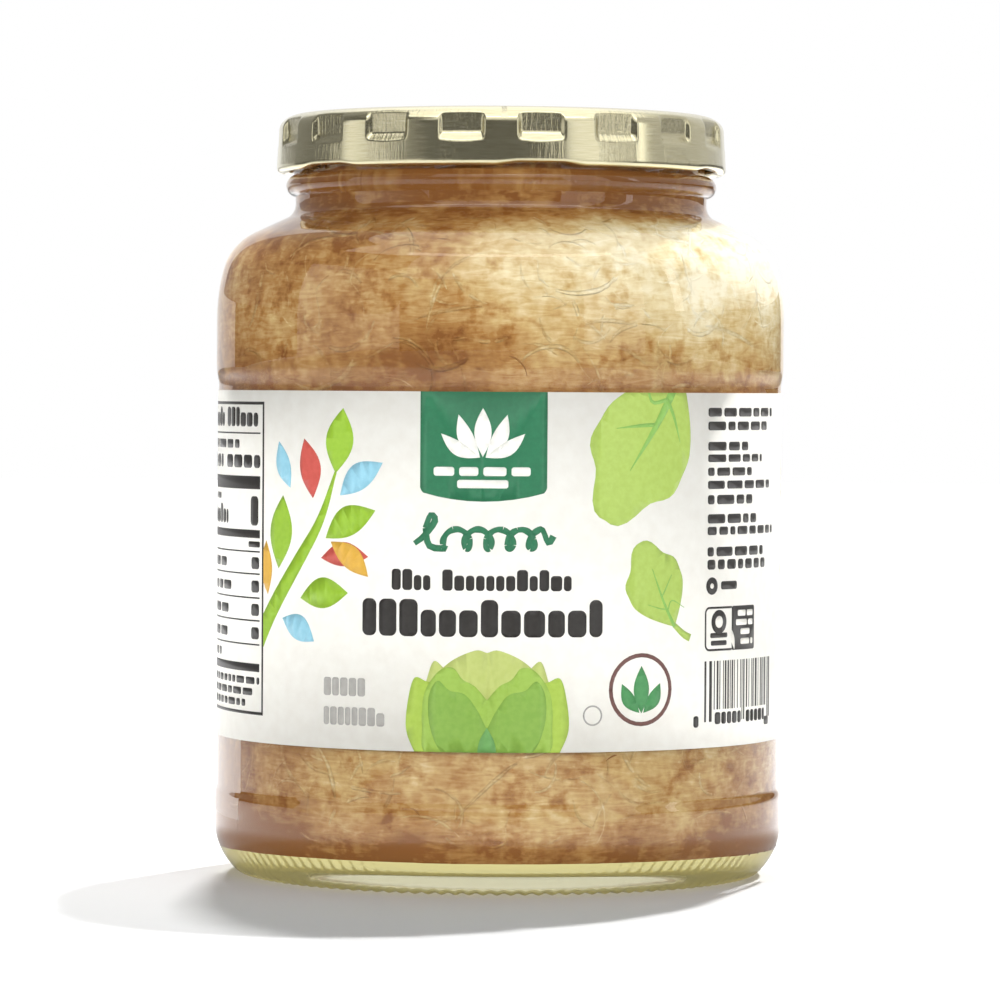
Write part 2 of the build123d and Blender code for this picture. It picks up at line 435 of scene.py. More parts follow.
def moulded_dot():
    """Dark brown bottoms of the small cavity dots in the heel."""
    made, tree = material("cavity_dot")
    shader = node(tree, "ShaderNodeBsdfPrincipled", {"Base Color": linear("#4b3d28"), "Roughness": 0.35})
    return surfaced(made, shader)


def gold_tinplate():
    """Rolled tinplate under clear gold lacquer: pale champagne metal, rolling grain, wrinkles where drawn."""
    made, tree = material("gold_lacquered_tinplate")
    place = node(tree, "ShaderNodeTexCoord").outputs
    grain_place = node(tree, "ShaderNodeMapping", {"Vector": place["UV"], "Scale": (0.25, 6.0, 1.0)})
    grain = node(tree, "ShaderNodeTexNoise", {"Vector": grain_place, "Scale": 1.0, "Detail": 3.0})
    # drawing wrinkles run up and down, about 0.6 mm apart, strongest on the shoulder and the dimple floors
    wrinkle_place = node(tree, "ShaderNodeMapping", {"Vector": place["UV"], "Scale": (1.6, 0.22, 1.0)})
    wrinkle = node(
        tree, "ShaderNodeTexNoise", {"Vector": wrinkle_place, "Scale": 1.0, "Detail": 4.0, "Roughness": 0.6}
    )
    drawn = node(tree, "ShaderNodeAttribute", attribute_name="drawn")
    amount = node(tree, "ShaderNodeMapRange", {"Value": drawn.outputs["Fac"], "To Min": 0.0, "To Max": 0.9})
    tone = ramp(tree, grain, [(0.3, "#cdc59f"), (0.7, "#dad3b3")])
    rough = node(tree, "ShaderNodeMapRange", {"Value": grain, "To Min": 0.12, "To Max": 0.24})
    dents = node(tree, "ShaderNodeBump", {"Height": wrinkle, "Strength": amount, "Distance": 0.12 * MM})
    shader = node(
        tree,
        "ShaderNodeBsdfPrincipled",
        {
            "Base Color": tone, "Metallic": 1.0, "Roughness": rough, "Normal": dents, "Coat Weight": 0.3,
            "Coat Roughness": 0.08,
        },
    )
    return surfaced(made, shader)


def coated_paper():
    """Semi-gloss coated label paper: warm white, barely mottled, with fibre cloudiness under the coating."""
    made, tree = material("coated_paper")
    place = node(tree, "ShaderNodeTexCoord").outputs
    cloud = node(tree, "ShaderNodeTexNoise", {"Vector": place["Object"], "Scale": 420.0, "Detail": 4.0})
    tone = ramp(tree, cloud, [(0.3, "#eae8e0"), (0.7, "#efeee7")])
    fibre = node(tree, "ShaderNodeTexNoise", {"Vector": place["Object"], "Scale": 2600.0, "Detail": 2.0})
    bump = node(tree, "ShaderNodeBump", {"Height": fibre, "Strength": 0.12, "Distance": 0.02 * MM})
    shader = node(tree, "ShaderNodeBsdfPrincipled", {"Base Color": tone, "Roughness": 0.42, "Normal": bump})
    return surfaced(made, shader)


def ink(name, colour, deeper):
    """Offset printing ink on coated paper: flat colour with the slight mottle of a full tone, semi-gloss."""
    made, tree = material(name)
    place = node(tree, "ShaderNodeTexCoord").outputs
    mottle = node(tree, "ShaderNodeTexNoise", {"Vector": place["Object"], "Scale": 900.0, "Detail": 3.0})
    tone = ramp(tree, mottle, [(0.35, deeper), (0.65, colour)])
    shader = node(tree, "ShaderNodeBsdfPrincipled", {"Base Color": tone, "Roughness": 0.38})
    return surfaced(made, shader)


def height_curve(tree, height, stops):
    """Value that follows (height, value) stops up the jar."""
    made = node(
        tree,
        "ShaderNodeFloatCurve",
        {"Value": node(tree, "ShaderNodeMapRange", {"Value": height, "From Max": FILL_LEVEL * MM})},
    )
    points = made.mapping.curves[0].points
    points[0].location = (0.0, stops[0][1])
    points[1].location = (1.0, stops[-1][1])
    for level, value in stops[1:-1]:
        points.new(level / FILL_LEVEL, value)
    made.mapping.update()
    return made


def packed_tone(tree):
    """How pale the cabbage is: brine-brown with painted shade in the neck, brine-brown in the foot, painted
    light on one shoulder.
    """
    place = node(tree, "ShaderNodeTexCoord").outputs
    axes = node(tree, "ShaderNodeSeparateXYZ", {"Vector": place["Object"]}).outputs
    base = height_curve(tree, axes["Z"], PALE_EVERYWHERE)
    top = height_curve(tree, axes["Z"], PAINTED_LIGHT_TO_ONE_SIDE)
    # painted light: the shoulder grows paler towards +X, the side the lamps light
    sideways = node(
        tree, "ShaderNodeMapRange", {"Value": axes["X"], "From Min": -0.024, "From Max": 0.034},
        interpolation_type="SMOOTHSTEP",
    )
    cloud = node(
        tree,
        "ShaderNodeTexNoise",
        {"Vector": place["Object"], "Scale": 75.0, "Detail": 3.0, "Roughness": 0.55},
    )
    clouds = node(
        tree,
        "ShaderNodeMapRange",
        {"Value": cloud, "From Min": 0.3, "From Max": 0.7, "To Min": -0.17, "To Max": 0.17},
    )
    # low in the jar the cabbage is browner towards both sides
    to_right = node(tree, "ShaderNodeMath", {0: axes["X"], 1: 0.004}, operation="SUBTRACT")
    off_middle = node(tree, "ShaderNodeMath", {0: to_right}, operation="ABSOLUTE")
    far_off = node(
        tree,
        "ShaderNodeMapRange",
        {"Value": off_middle, "From Min": 0.026, "From Max": 0.05, "To Max": -0.28},
        interpolation_type="SMOOTHSTEP",
    )
    is_low = node(tree, "ShaderNodeMapRange", {"Value": axes["Z"], "From Min": 0.09, "From Max": 0.03})
    sides = node(tree, "ShaderNodeMapRange", {"Value": is_low, "To Max": far_off})
    # browned spots, 2 to 6 mm across
    spot = node(
        tree,
        "ShaderNodeTexNoise",
        {"Vector": place["Object"], "Scale": 190.0, "Detail": 4.0, "Roughness": 0.6},
    )
    spots = node(
        tree, "ShaderNodeMapRange", {"Value": spot, "From Min": 0.54, "From Max": 0.72, "To Max": -0.3}
    )
    # lying strands too fine to stand out: short level streaks
    along = node(tree, "ShaderNodeMapping", {"Vector": place["Object"], "Scale": (170.0, 170.0, 900.0)})
    strand = node(
        tree, "ShaderNodeTexNoise", {"Vector": along, "Scale": 1.0, "Detail": 3.0, "Distortion": 1.5}
    )
    strands = node(
        tree,
        "ShaderNodeMapRange",
        {"Value": strand, "From Min": 0.3, "From Max": 0.7, "To Min": -0.1, "To Max": 0.1},
    )
    total = node(tree, "ShaderNodeMath", {0: top, 1: sideways, 2: base}, operation="MULTIPLY_ADD")
    for change in (sides, clouds, spots, strands):
        total = node(tree, "ShaderNodeMath", {0: total, 1: change}, operation="ADD")
    return place, total


def cabbage(name, lift, spread, fine_scale):
    """Fermented white cabbage in brine: translucent straw-coloured shreds, browner the deeper they lie."""
    made, tree = material(name)
    place, pale = packed_tone(tree)
    tone = node(tree, "ShaderNodeAttribute", attribute_name="tone")
    offset = node(
        tree,
        "ShaderNodeMapRange",
        {"Value": tone.outputs["Fac"], "To Min": lift - spread, "To Max": lift + spread},
    )
    fine = node(tree, "ShaderNodeTexNoise", {"Vector": place["Object"], "Scale": fine_scale, "Detail": 4.0})
    streak = node(
        tree,
        "ShaderNodeMapRange",
        {"Value": fine, "From Min": 0.3, "From Max": 0.7, "To Min": -0.1, "To Max": 0.1},
    )
    first = node(tree, "ShaderNodeMath", {0: pale, 1: offset}, operation="ADD")
    total = node(tree, "ShaderNodeMath", {0: first, 1: streak}, operation="ADD", use_clamp=True)
    colour = ramp(tree, total, CABBAGE_TONES)
    # light spreads through soft shreds, so their relief hardly shades them: they are lit as the wall is
    axes = node(tree, "ShaderNodeSeparateXYZ", {"Vector": place["Object"]}).outputs
    leaning = node(
        tree,
        "ShaderNodeMapRange",
        {"Value": axes["Z"], "From Min": LEAN_START * MM, "From Max": LEAN_FULL * MM, "To Max": LEAN},
    )
    upward = node(
        tree,
        "ShaderNodeMapRange",
        {
            "Value": axes["Z"], "From Min": LEAN_FULL * MM, "From Max": LEAN_END * MM, "To Min": leaning,
            "To Max": 0.0,
        },
    )
    wall = node(tree, "ShaderNodeCombineXYZ", {"X": axes["X"], "Y": axes["Y"], "Z": upward})
    outward = node(tree, "ShaderNodeVectorMath", {0: wall}, operation="NORMALIZE")
    shape = node(tree, "ShaderNodeNewGeometry")
    relief = node(
        tree, "ShaderNodeVectorMath", {0: shape.outputs["Normal"], 1: (0.3, 0.3, 0.3)}, operation="MULTIPLY"
    )
    mixed = node(tree, "ShaderNodeVectorMath", {0: outward, 1: relief}, operation="ADD")
    soft = node(tree, "ShaderNodeVectorMath", {0: mixed}, operation="NORMALIZE")
    shader = node(
        tree,
        "ShaderNodeBsdfPrincipled",
        {"Base Color": colour, "Roughness": 0.6, "Specular IOR Level": 0.0, "Normal": soft},
    )
    return surfaced(made, shader)


def painted_base_light():
    """Pale half-mirror between the glass floor and the cabbage: painted light for what the thick base carries
    in at the heel.

    It keeps the thick base looking clear and yellow-green instead of showing the cabbage above it.
    """
    made, tree = material("painted_base_light_mirror")
    # painted light: a pale yellow half-mirror, not the brine's own colour
    shader = node(
        tree,
        "ShaderNodeBsdfPrincipled",
        {"Base Color": linear("#efe3a6"), "Metallic": 0.5, "Roughness": 0.1},
    )
    return surfaced(made, shader)


def browned_strand():
    """Browned edge of a leaf or a bit of core: dull dark brown, soft."""
    made, tree = material("browned_strand")
    place = node(tree, "ShaderNodeTexCoord").outputs
    cloud = node(tree, "ShaderNodeTexNoise", {"Vector": place["Object"], "Scale": 700.0, "Detail": 2.0})
    tone = ramp(tree, cloud, [(0.3, "#8a5a2c"), (0.7, "#a9783f")])
    shader = node(tree, "ShaderNodeBsdfPrincipled", {"Base Color": tone, "Roughness": 0.6})
    return surfaced(made, shader)


# ---- glass ----------------------------------------------------------------------------------

shoulder_centre = (BODY_RADIUS - SHOULDER_RADIUS, SHOULDER_START)
crown_centre = on_circle(shoulder_centre, SHOULDER_RADIUS - CROWN_RADIUS, SHOULDER_TURN)
heel_centre = (BODY_RADIUS - HEEL_RADIUS, HEEL_TOP)
foot_angle = degrees(asin((HEEL_TOP - FOOT_RADIUS) / (HEEL_RADIUS - FOOT_RADIUS)))
foot_centre = on_circle(heel_centre, HEEL_RADIUS - FOOT_RADIUS, -foot_angle)
corner_centre = (INNER_RADIUS - INNER_CORNER, FLOOR_EDGE + INNER_CORNER)


def neck_centre(inset):
    """Centre of the blend from the shoulder's slope into the neck, for a surface set in from the outside."""
    slope_radius, slope_height = on_circle(crown_centre, CROWN_RADIUS - inset, CROWN_END)
    blend = NECK_BLEND + inset
    tangent_radius = NECK_RADIUS - inset + blend * (1 - cos(radians(CROWN_END)))
    tangent_height = slope_height + (slope_radius - tangent_radius) / tan(radians(CROWN_END))
    return (NECK_RADIUS - inset + blend, tangent_height + blend * sin(radians(CROWN_END)))


def shoulder_outline(inset, fineness):
    """Shoulder, crown, slope and neck blend, set in from the outside by the inset."""
    blend = NECK_BLEND + inset
    return joined(
        arc(shoulder_centre, SHOULDER_RADIUS - inset, 0, SHOULDER_TURN, fineness),
        arc(crown_centre, CROWN_RADIUS - inset, SHOULDER_TURN, CROWN_END, fineness + 3),
        arc(neck_centre(inset), blend, 180 + CROWN_END, 180, fineness),
    )


def inside_outline(inset, level, fineness):
    """Inside of the wall from the floor's centre up to a level in the neck; the inset is its thickness."""
    grow = WALL - inset
    floor_dome = dome(FLOOR_CROWN - grow, (corner_centre[0], FLOOR_EDGE - grow), fineness)
    return joined(
        floor_dome,
        arc(corner_centre, INNER_CORNER + grow, -90, 0, fineness),
        rise((INNER_RADIUS + grow, corner_centre[1]), (INNER_RADIUS + grow, SHOULDER_START), 3 * fineness),
        shoulder_outline(inset, fineness),
        rise((NECK_RADIUS - inset, neck_centre(inset)[1]), (NECK_RADIUS - inset, level), fineness),
    )


def outside_outline():
    """Underside, bearing ring, heel, bands, label panel, shoulder, neck, bead, finish and lip."""
    bead_low = degrees(acos((NECK_RADIUS - BEAD_CENTRE[0]) / BEAD_RADIUS))
    bead_high = degrees(acos((FINISH_RADIUS - BEAD_CENTRE[0]) / BEAD_RADIUS))
    bead = arc(BEAD_CENTRE, BEAD_RADIUS, -bead_low, bead_high, 12)
    return joined(
        dome(PUSH_UP, PUSH_UP_EDGE, 5),
        rise((RING_INNER, 0), (foot_centre[0], 0), 3),
        arc(foot_centre, FOOT_RADIUS, -90, -foot_angle, 6),
        arc(heel_centre, HEEL_RADIUS, -foot_angle, 0, 10),
        blend_up((BODY_RADIUS, PANEL_BOTTOM - PANEL_BLEND_LOW), (PANEL_RADIUS, PANEL_BOTTOM), 6),
        rise((PANEL_RADIUS, PANEL_BOTTOM), (PANEL_RADIUS, PANEL_TOP), 2),
        blend_up((PANEL_RADIUS, PANEL_TOP), (BODY_RADIUS, PANEL_TOP + PANEL_BLEND_HIGH), 6),
        shoulder_outline(0, 6),
        bead,
        rise(bead[-1], (FINISH_RADIUS, THREAD_HIGH + 1.5), 19),
        arc((FINISH_RADIUS - LIP_ROUND, LIP_TOP - LIP_ROUND), LIP_ROUND, 0, 90, 4),
    )


def glass_tree(sizes):
    """Raise the screw threads, the knurl of the bearing ring and the mould seams out of the turned glass."""
    tree, given = growing("glass details", sizes)
    axes, turn, flat, radius = round_the_axis(tree)
    bearing = node(tree, "ShaderNodeMath", {0: turn}, operation="DEGREES")
    height = axes["Z"]

    # threads: distance from the nearest point of the thread's climbing centre line
    pitch = node(tree, "ShaderNodeMath", {0: 360.0, 1: given["Threads"]}, operation="DIVIDE")
    past = node(tree, "ShaderNodeMath", {0: bearing, 1: given["Thread start"]}, operation="SUBTRACT")
    along = node(tree, "ShaderNodeMath", {0: past, 1: pitch}, operation="FLOORED_MODULO")
    part = node(
        tree, "ShaderNodeMath", {0: along, 1: given["Thread span"]}, operation="DIVIDE", use_clamp=True
    )
    centre = node(
        tree,
        "ShaderNodeMapRange",
        {"Value": part, "To Min": given["Thread low"], "To Max": given["Thread high"]},
    )
    above = node(tree, "ShaderNodeMath", {0: height, 1: centre}, operation="SUBTRACT")
    # beyond the upper end the distance is counted from there, and before the lower end from the lower one
    beyond = node(tree, "ShaderNodeMath", {0: along, 1: given["Thread span"]}, operation="SUBTRACT")
    before = node(tree, "ShaderNodeMath", {0: pitch, 1: along}, operation="SUBTRACT")
    nearer = node(tree, "ShaderNodeMath", {0: beyond, 1: before}, operation="MINIMUM")
    outside = node(tree, "ShaderNodeMath", {0: nearer, 1: 0.0}, operation="MAXIMUM")
    aside = node(tree, "ShaderNodeMath", {0: outside}, operation="RADIANS")
    sideways = node(tree, "ShaderNodeMath", {0: aside, 1: radius}, operation="MULTIPLY")
    # a stretch just before the lower end climbs from the lower end's height
    is_before = node(tree, "ShaderNodeMath", {0: before, 1: beyond}, operation="LESS_THAN")
    low_above = node(tree, "ShaderNodeMath", {0: height, 1: given["Thread low"]}, operation="SUBTRACT")
    rise_here = node(
        tree, "ShaderNodeMix", {"Factor": is_before, "A": above, "B": low_above}, data_type="FLOAT"
    )
    gap = node(tree, "ShaderNodeCombineXYZ", {"X": sideways, "Y": rise_here})
    apart = node(tree, "ShaderNodeVectorMath", {0: gap, 1: gap}, operation="DOT_PRODUCT")
    square = node(
        tree, "ShaderNodeMath", {0: given["Thread round"], 1: given["Thread round"]}, operation="MULTIPLY"
    )
    left_over = node(tree, "ShaderNodeMath", {0: square, 1: apart}, operation="SUBTRACT")
    kept = node(tree, "ShaderNodeMath", {0: left_over, 1: 0.0}, operation="MAXIMUM")
    ridge = node(tree, "ShaderNodeMath", {0: kept}, operation="SQRT")
    crest = node(tree, "ShaderNodeMath", {0: ridge, 1: given["Thread centre"]}, operation="ADD")
    on_ridge = node(tree, "ShaderNodeMath", {0: left_over, 1: 0.0}, operation="GREATER_THAN")
    is_finish = node(tree, "ShaderNodeMath", {0: height, 1: given["Finish foot"]}, operation="GREATER_THAN")
    is_outer = node(tree, "ShaderNodeMath", {0: radius, 1: given["Finish bore"]}, operation="GREATER_THAN")
    in_finish = node(tree, "ShaderNodeMath", {0: is_finish, 1: is_outer}, operation="MULTIPLY")
    use_ridge = node(tree, "ShaderNodeMath", {0: on_ridge, 1: in_finish}, operation="MULTIPLY")
    higher = node(tree, "ShaderNodeMath", {0: crest, 1: radius}, operation="MAXIMUM")
    threaded = node(
        tree, "ShaderNodeMix", {"Factor": use_ridge, "A": radius, "B": higher}, data_type="FLOAT"
    )

    # seams: two thin ridges opposite each other, from the heel to the bead
    from_seam = node(tree, "ShaderNodeMath", {0: bearing, 1: given["Seam bearing"]}, operation="SUBTRACT")
    half_turn = node(tree, "ShaderNodeMath", {0: from_seam, 1: 90.0}, operation="ADD")
    wrapped = node(tree, "ShaderNodeMath", {0: half_turn, 1: 180.0}, operation="FLOORED_MODULO")
    off = node(tree, "ShaderNodeMath", {0: wrapped, 1: 90.0}, operation="SUBTRACT")
    off_angle = node(tree, "ShaderNodeMath", {0: off}, operation="RADIANS")
    off_length = node(tree, "ShaderNodeMath", {0: off_angle, 1: radius}, operation="MULTIPLY")
    off_size = node(tree, "ShaderNodeMath", {0: off_length}, operation="ABSOLUTE")
    seam = node(
        tree,
        "ShaderNodeMapRange",
        {"Value": off_size, "From Max": given["Seam width"], "To Min": given["Seam height"], "To Max": 0.0},
        interpolation_type="SMOOTHSTEP",
    )
    in_wall = node(tree, "ShaderNodeMath", {0: radius, 1: given["Finish bore"]}, operation="GREATER_THAN")
    facing = node(tree, "GeometryNodeInputNormal")
    outwards = node(tree, "ShaderNodeVectorMath", {0: facing, 1: flat}, operation="DOT_PRODUCT")
    is_out = node(tree, "ShaderNodeMath", {0: outwards, 1: 0.0}, operation="GREATER_THAN")
    seam_here = node(tree, "ShaderNodeMath", {0: in_wall, 1: is_out}, operation="MULTIPLY")
    seam_rise = node(tree, "ShaderNodeMath", {0: seam, 1: seam_here}, operation="MULTIPLY")
    new_radius = node(tree, "ShaderNodeMath", {0: threaded, 1: seam_rise}, operation="ADD")

    # knurl: grooves across the bearing ring
    waves = node(tree, "ShaderNodeMath", {0: turn, 1: given["Knurls"]}, operation="MULTIPLY")
    wave = node(tree, "ShaderNodeMath", {0: waves}, operation="COSINE")
    groove = node(
        tree,
        "ShaderNodeMapRange",
        {"Value": wave, "From Min": -1.0, "To Min": given["Knurl depth"], "To Max": 0.0},
    )
    fading = node(
        tree,
        "ShaderNodeMapRange",
        {"Value": height, "From Max": given["Knurl top"], "To Min": 1.0, "To Max": 0.0},
        interpolation_type="SMOOTHSTEP",
    )
    on_ring = node(tree, "ShaderNodeMath", {0: radius, 1: given["Ring inner"]}, operation="GREATER_THAN")
    fade = node(tree, "ShaderNodeMath", {0: fading, 1: on_ring}, operation="MULTIPLY")
    lift = node(tree, "ShaderNodeMath", {0: groove, 1: fade}, operation="MULTIPLY")

    moved_z = node(tree, "ShaderNodeMath", {0: height, 1: lift}, operation="ADD")
    moved = set_round(tree, given["Geometry"], axes, radius, new_radius, moved_z)
    return handed_out(tree, moved, given["Material"])


def glass_jar(glass):
    """The whole jar as one closed shell of glass, with its real wall."""
    inside = inside_outline(WALL, LIP_TOP - LIP_ROUND, 6)
    lip = arc((NECK_RADIUS - WALL + LIP_ROUND, LIP_TOP - LIP_ROUND), LIP_ROUND, 90, 180, 4)
    outline = joined(outside_outline(), lip, reversed(inside))
    bearings = [360 * number / GLASS_COLUMNS for number in range(GLASS_COLUMNS)]
    for seam in (SEAM_BEARING % 360, SEAM_BEARING + 180):
        bearings += [seam + offset for offset in SEAM_COLUMNS]
    sizes = {
        "Threads": float(THREADS), "Thread start": THREAD_START, "Thread span": THREAD_SPAN,
        "Thread low": THREAD_LOW * MM, "Thread high": THREAD_HIGH * MM, "Thread round": THREAD_ROUND * MM,
        "Thread centre": THREAD_CENTRE * MM, "Finish foot": FINISH_FOOT * MM,
        "Finish bore": FINISH_BORE * MM, "Seam bearing": SEAM_BEARING, "Seam height": SEAM_HEIGHT * MM,
        "Seam width": SEAM_WIDTH * MM, "Knurls": float(KNURLS), "Knurl depth": KNURL_DEPTH * MM,
        "Knurl top": KNURL_TOP * MM, "Ring inner": (RING_INNER - 0.5) * MM, "Material": glass,
    }
    made = grown("jar_glass", turned("jar_glass", outline, sorted(bearings)), glass_tree(sizes), sizes)
    made.data.set_sharp_from_angle(angle=radians(50))
    unseen(made, "shadow")
    return made


def heel_dots(surface):
    """The mould's cavity dots: small domes in a row on the heel."""
    angle = asin((HEEL_DOT_HEIGHT - HEEL_TOP) / HEEL_RADIUS)
    radius = heel_centre[0] + HEEL_RADIUS * cos(angle)
    dots = bmesh.new()
    for bearing in HEEL_DOTS:
        towards = direction(bearing, degrees(angle))
        centre = direction(bearing, 0) * radius * MM + Vector((0, 0, HEEL_DOT_HEIGHT * MM))
        lie = towards.to_track_quat("Z", "Y").to_matrix().to_4x4()
        flat = Matrix.Diagonal((HEEL_DOT_SIZE, HEEL_DOT_SIZE, HEEL_DOT_RISE, 1 / MM)) * MM
        bmesh.ops.create_uvsphere(
            dots, u_segments=14, v_segments=8, radius=0.5, matrix=Matrix.Translation(centre) @ lie @ flat
        )
    mesh = bpy.data.meshes.new("heel_dots")
    dots.to_mesh(mesh)
    dots.free()
    mesh.shade_smooth()
    mesh.materials.append(surface)
    return placed("heel_dots", mesh)


# ---- cap ------------------------------------------------------------------------------------


def cap_outline():
    """Outside of the sheet from the rolled-in end of the curl, up the skirt and in to the top's centre."""
    panel = CAP_TOP - PANEL_SINK
    shoulder = []
    for step in range(13):
        angle = radians(90 * step / 12)
        shoulder.append(
            (
                RIM_RADIUS + (SKIRT_TOP_RADIUS - RIM_RADIUS) * cos(angle),
                SKIRT_TOP + (CAP_TOP - SKIRT_TOP) * sin(angle),
            )
        )
    return joined(
        arc(CURL_CENTRE, CURL_RADIUS, -250, 0, 18),
        rise((SKIRT_FOOT_RADIUS, CURL_CENTRE[1] + 0.5), (SKIRT_TOP_RADIUS, SKIRT_TOP), 20),
        shoulder,
        rise((RIM_RADIUS, CAP_TOP), (RIM_INNER + 0.4, CAP_TOP), 2),
        blend_in((RIM_INNER + 0.3, CAP_TOP), (PANEL_RIM - 0.3, panel), 6),
        rise((PANEL_RIM - 1.5, panel), (BUTTON_FOOT + 0.5, panel), 3),
        blend_in((BUTTON_FOOT + 0.3, panel), (BUTTON_RADIUS - 0.6, panel + BUTTON_RISE), 5),
        [(5.0, panel + BUTTON_RISE), (0, panel + BUTTON_RISE)],
    )


def blend_in(start, end, steps):
    """Points of a soft step, level at both ends."""
    return [(radius, height) for height, radius in blend_up(start[::-1], end[::-1], steps)]


def cap_bearings():
    """Bearings of the cap's columns: close together where the dimples' side walls stand."""
    half = degrees(DIMPLE_WIDTH / 2 / SKIRT_TOP_RADIUS)
    offsets = [-half + 1.9 + (2 * half - 3.8) * step / 9 for step in range(10)]
    for side in (-1, 1):
        offsets += [side * (half + shift) for shift in (-1.5, -1.25, -1.0, -0.75, -0.5, -0.25, 0.0, 0.3)]
        offsets += [side * (half + 1.2), side * (half + 2.4)]
    offsets.append(10.0)
    pitch = 360 / DIMPLES
    return sorted((number + 0.5) * pitch + offset for number in range(DIMPLES) for offset in offsets)


def cap_tree(sizes):
    """Press the dimples into the skirt and draw the curl up and in over the lugs."""
    tree, given = growing("pressed cap", sizes)
    axes, turn, _, radius = round_the_axis(tree)
    height = axes["Z"]

    # bearing from the middle of the nearest dimple
    pitch = node(tree, "ShaderNodeMath", {0: 2 * pi, 1: given["Dimples"]}, operation="DIVIDE")
    along = node(tree, "ShaderNodeMath", {0: turn, 1: pitch}, operation="FLOORED_MODULO")
    half_pitch = node(tree, "ShaderNodeMath", {0: pitch, 1: 0.5}, operation="MULTIPLY")
    offset = node(tree, "ShaderNodeMath", {0: along, 1: half_pitch}, operation="SUBTRACT")
    sideways = node(tree, "ShaderNodeMath", {0: offset, 1: radius}, operation="MULTIPLY")
    across = node(tree, "ShaderNodeMath", {0: sideways}, operation="ABSOLUTE")
    half_width = node(tree, "ShaderNodeMath", {0: given["Dimple width"], 1: 0.5}, operation="MULTIPLY")
    wall = node(tree, "ShaderNodeMath", {0: half_width, 1: given["Dimple wall"]}, operation="SUBTRACT")
    pressed = node(
        tree,
        "ShaderNodeMapRange",
        {"Value": across, "From Min": wall, "From Max": half_width, "To Min": 1.0, "To Max": 0.0},
        interpolation_type="SMOOTHSTEP",
    )
    # the floor runs out to the skirt at its foot and ends where the shoulder turns in over it
    lean = node(
        tree,
        "ShaderNodeMapRange",
        {
            "Value": height, "From Min": given["Dimple low"], "From Max": given["Dimple high"],
            "To Min": given["Skirt radius"], "To Max": given["Dimple floor"],
        },
        interpolation_type="SMOOTHSTEP",
    )
    # it is flat from side to side, so its radius grows away from its middle
    spread = node(tree, "ShaderNodeMath", {0: offset}, operation="COSINE")
    floor_radius = node(tree, "ShaderNodeMath", {0: lean, 1: spread}, operation="DIVIDE")
    lower = node(tree, "ShaderNodeMath", {0: floor_radius, 1: radius}, operation="MINIMUM")
    pressed_radius = node(
        tree, "ShaderNodeMix", {"Factor": pressed, "A": radius, "B": lower}, data_type="FLOAT"
    )

    # bearing from the middle of the nearest lug, as a length along the curl
    lug_pitch = node(tree, "ShaderNodeMath", {0: 2 * pi, 1: given["Lugs"]}, operation="DIVIDE")
    lug_turn = node(tree, "ShaderNodeMath", {0: turn, 1: given["Lug bearing"]}, operation="SUBTRACT")
    lug_half = node(tree, "ShaderNodeMath", {0: lug_pitch, 1: 0.5}, operation="MULTIPLY")
    lug_shift = node(tree, "ShaderNodeMath", {0: lug_turn, 1: lug_half}, operation="ADD")
    lug_along = node(tree, "ShaderNodeMath", {0: lug_shift, 1: lug_pitch}, operation="FLOORED_MODULO")
    lug_offset = node(tree, "ShaderNodeMath", {0: lug_along, 1: lug_half}, operation="SUBTRACT")
    lug_side = node(tree, "ShaderNodeMath", {0: lug_offset, 1: radius}, operation="MULTIPLY")
    lug_across = node(tree, "ShaderNodeMath", {0: lug_side}, operation="ABSOLUTE")
    lug_near = node(tree, "ShaderNodeMath", {0: given["Lug width"], 1: 0.3}, operation="MULTIPLY")
    lug_far = node(tree, "ShaderNodeMath", {0: given["Lug width"], 1: 0.7}, operation="MULTIPLY")
    drawn_in = node(
        tree,
        "ShaderNodeMapRange",
        {"Value": lug_across, "From Min": lug_near, "From Max": lug_far, "To Min": 1.0, "To Max": 0.0},
        interpolation_type="SMOOTHSTEP",
    )
    lug_radius = node(tree, "GeometryNodeInputNamedAttribute", {"Name": "lug_radius"}, data_type="FLOAT")
    lug_height = node(tree, "GeometryNodeInputNamedAttribute", {"Name": "lug_height"}, data_type="FLOAT")
    final_radius = node(
        tree, "ShaderNodeMix", {"Factor": drawn_in, "A": pressed_radius, "B": lug_radius}, data_type="FLOAT"
    )
    final_height = node(
        tree, "ShaderNodeMix", {"Factor": drawn_in, "A": height, "B": lug_height}, data_type="FLOAT"
    )
    is_curl = node(tree, "ShaderNodeMath", {0: height, 1: given["Curl top"]}, operation="LESS_THAN")
    use_radius = node(
        tree, "ShaderNodeMix", {"Factor": is_curl, "A": pressed_radius, "B": final_radius},
        data_type="FLOAT",
    )
    use_height = node(
        tree, "ShaderNodeMix", {"Factor": is_curl, "A": height, "B": final_height}, data_type="FLOAT"
    )

    # how hard the sheet was drawn shows as wrinkles: on the shoulder and on the dimple floors
    shoulder = node(
        tree,
        "ShaderNodeMapRange",
        {"Value": height, "From Min": given["Skirt top"], "From Max": given["Cap top"]},
    )
    on_edge = node(tree, "ShaderNodeMath", {0: radius, 1: given["Rim radius"]}, operation="GREATER_THAN")
    shoulder_here = node(tree, "ShaderNodeMath", {0: shoulder, 1: on_edge}, operation="MULTIPLY")
    drawn = node(tree, "ShaderNodeMath", {0: shoulder_here, 1: pressed}, operation="MAXIMUM")
    stored = node(
        tree,
        "GeometryNodeStoreNamedAttribute",
        {"Geometry": given["Geometry"], "Name": "drawn", "Value": drawn},
        data_type="FLOAT",
        domain="POINT",
    )
    moved = set_round(tree, stored, axes, radius, use_radius, use_height)
    return handed_out(tree, moved, given["Material"])


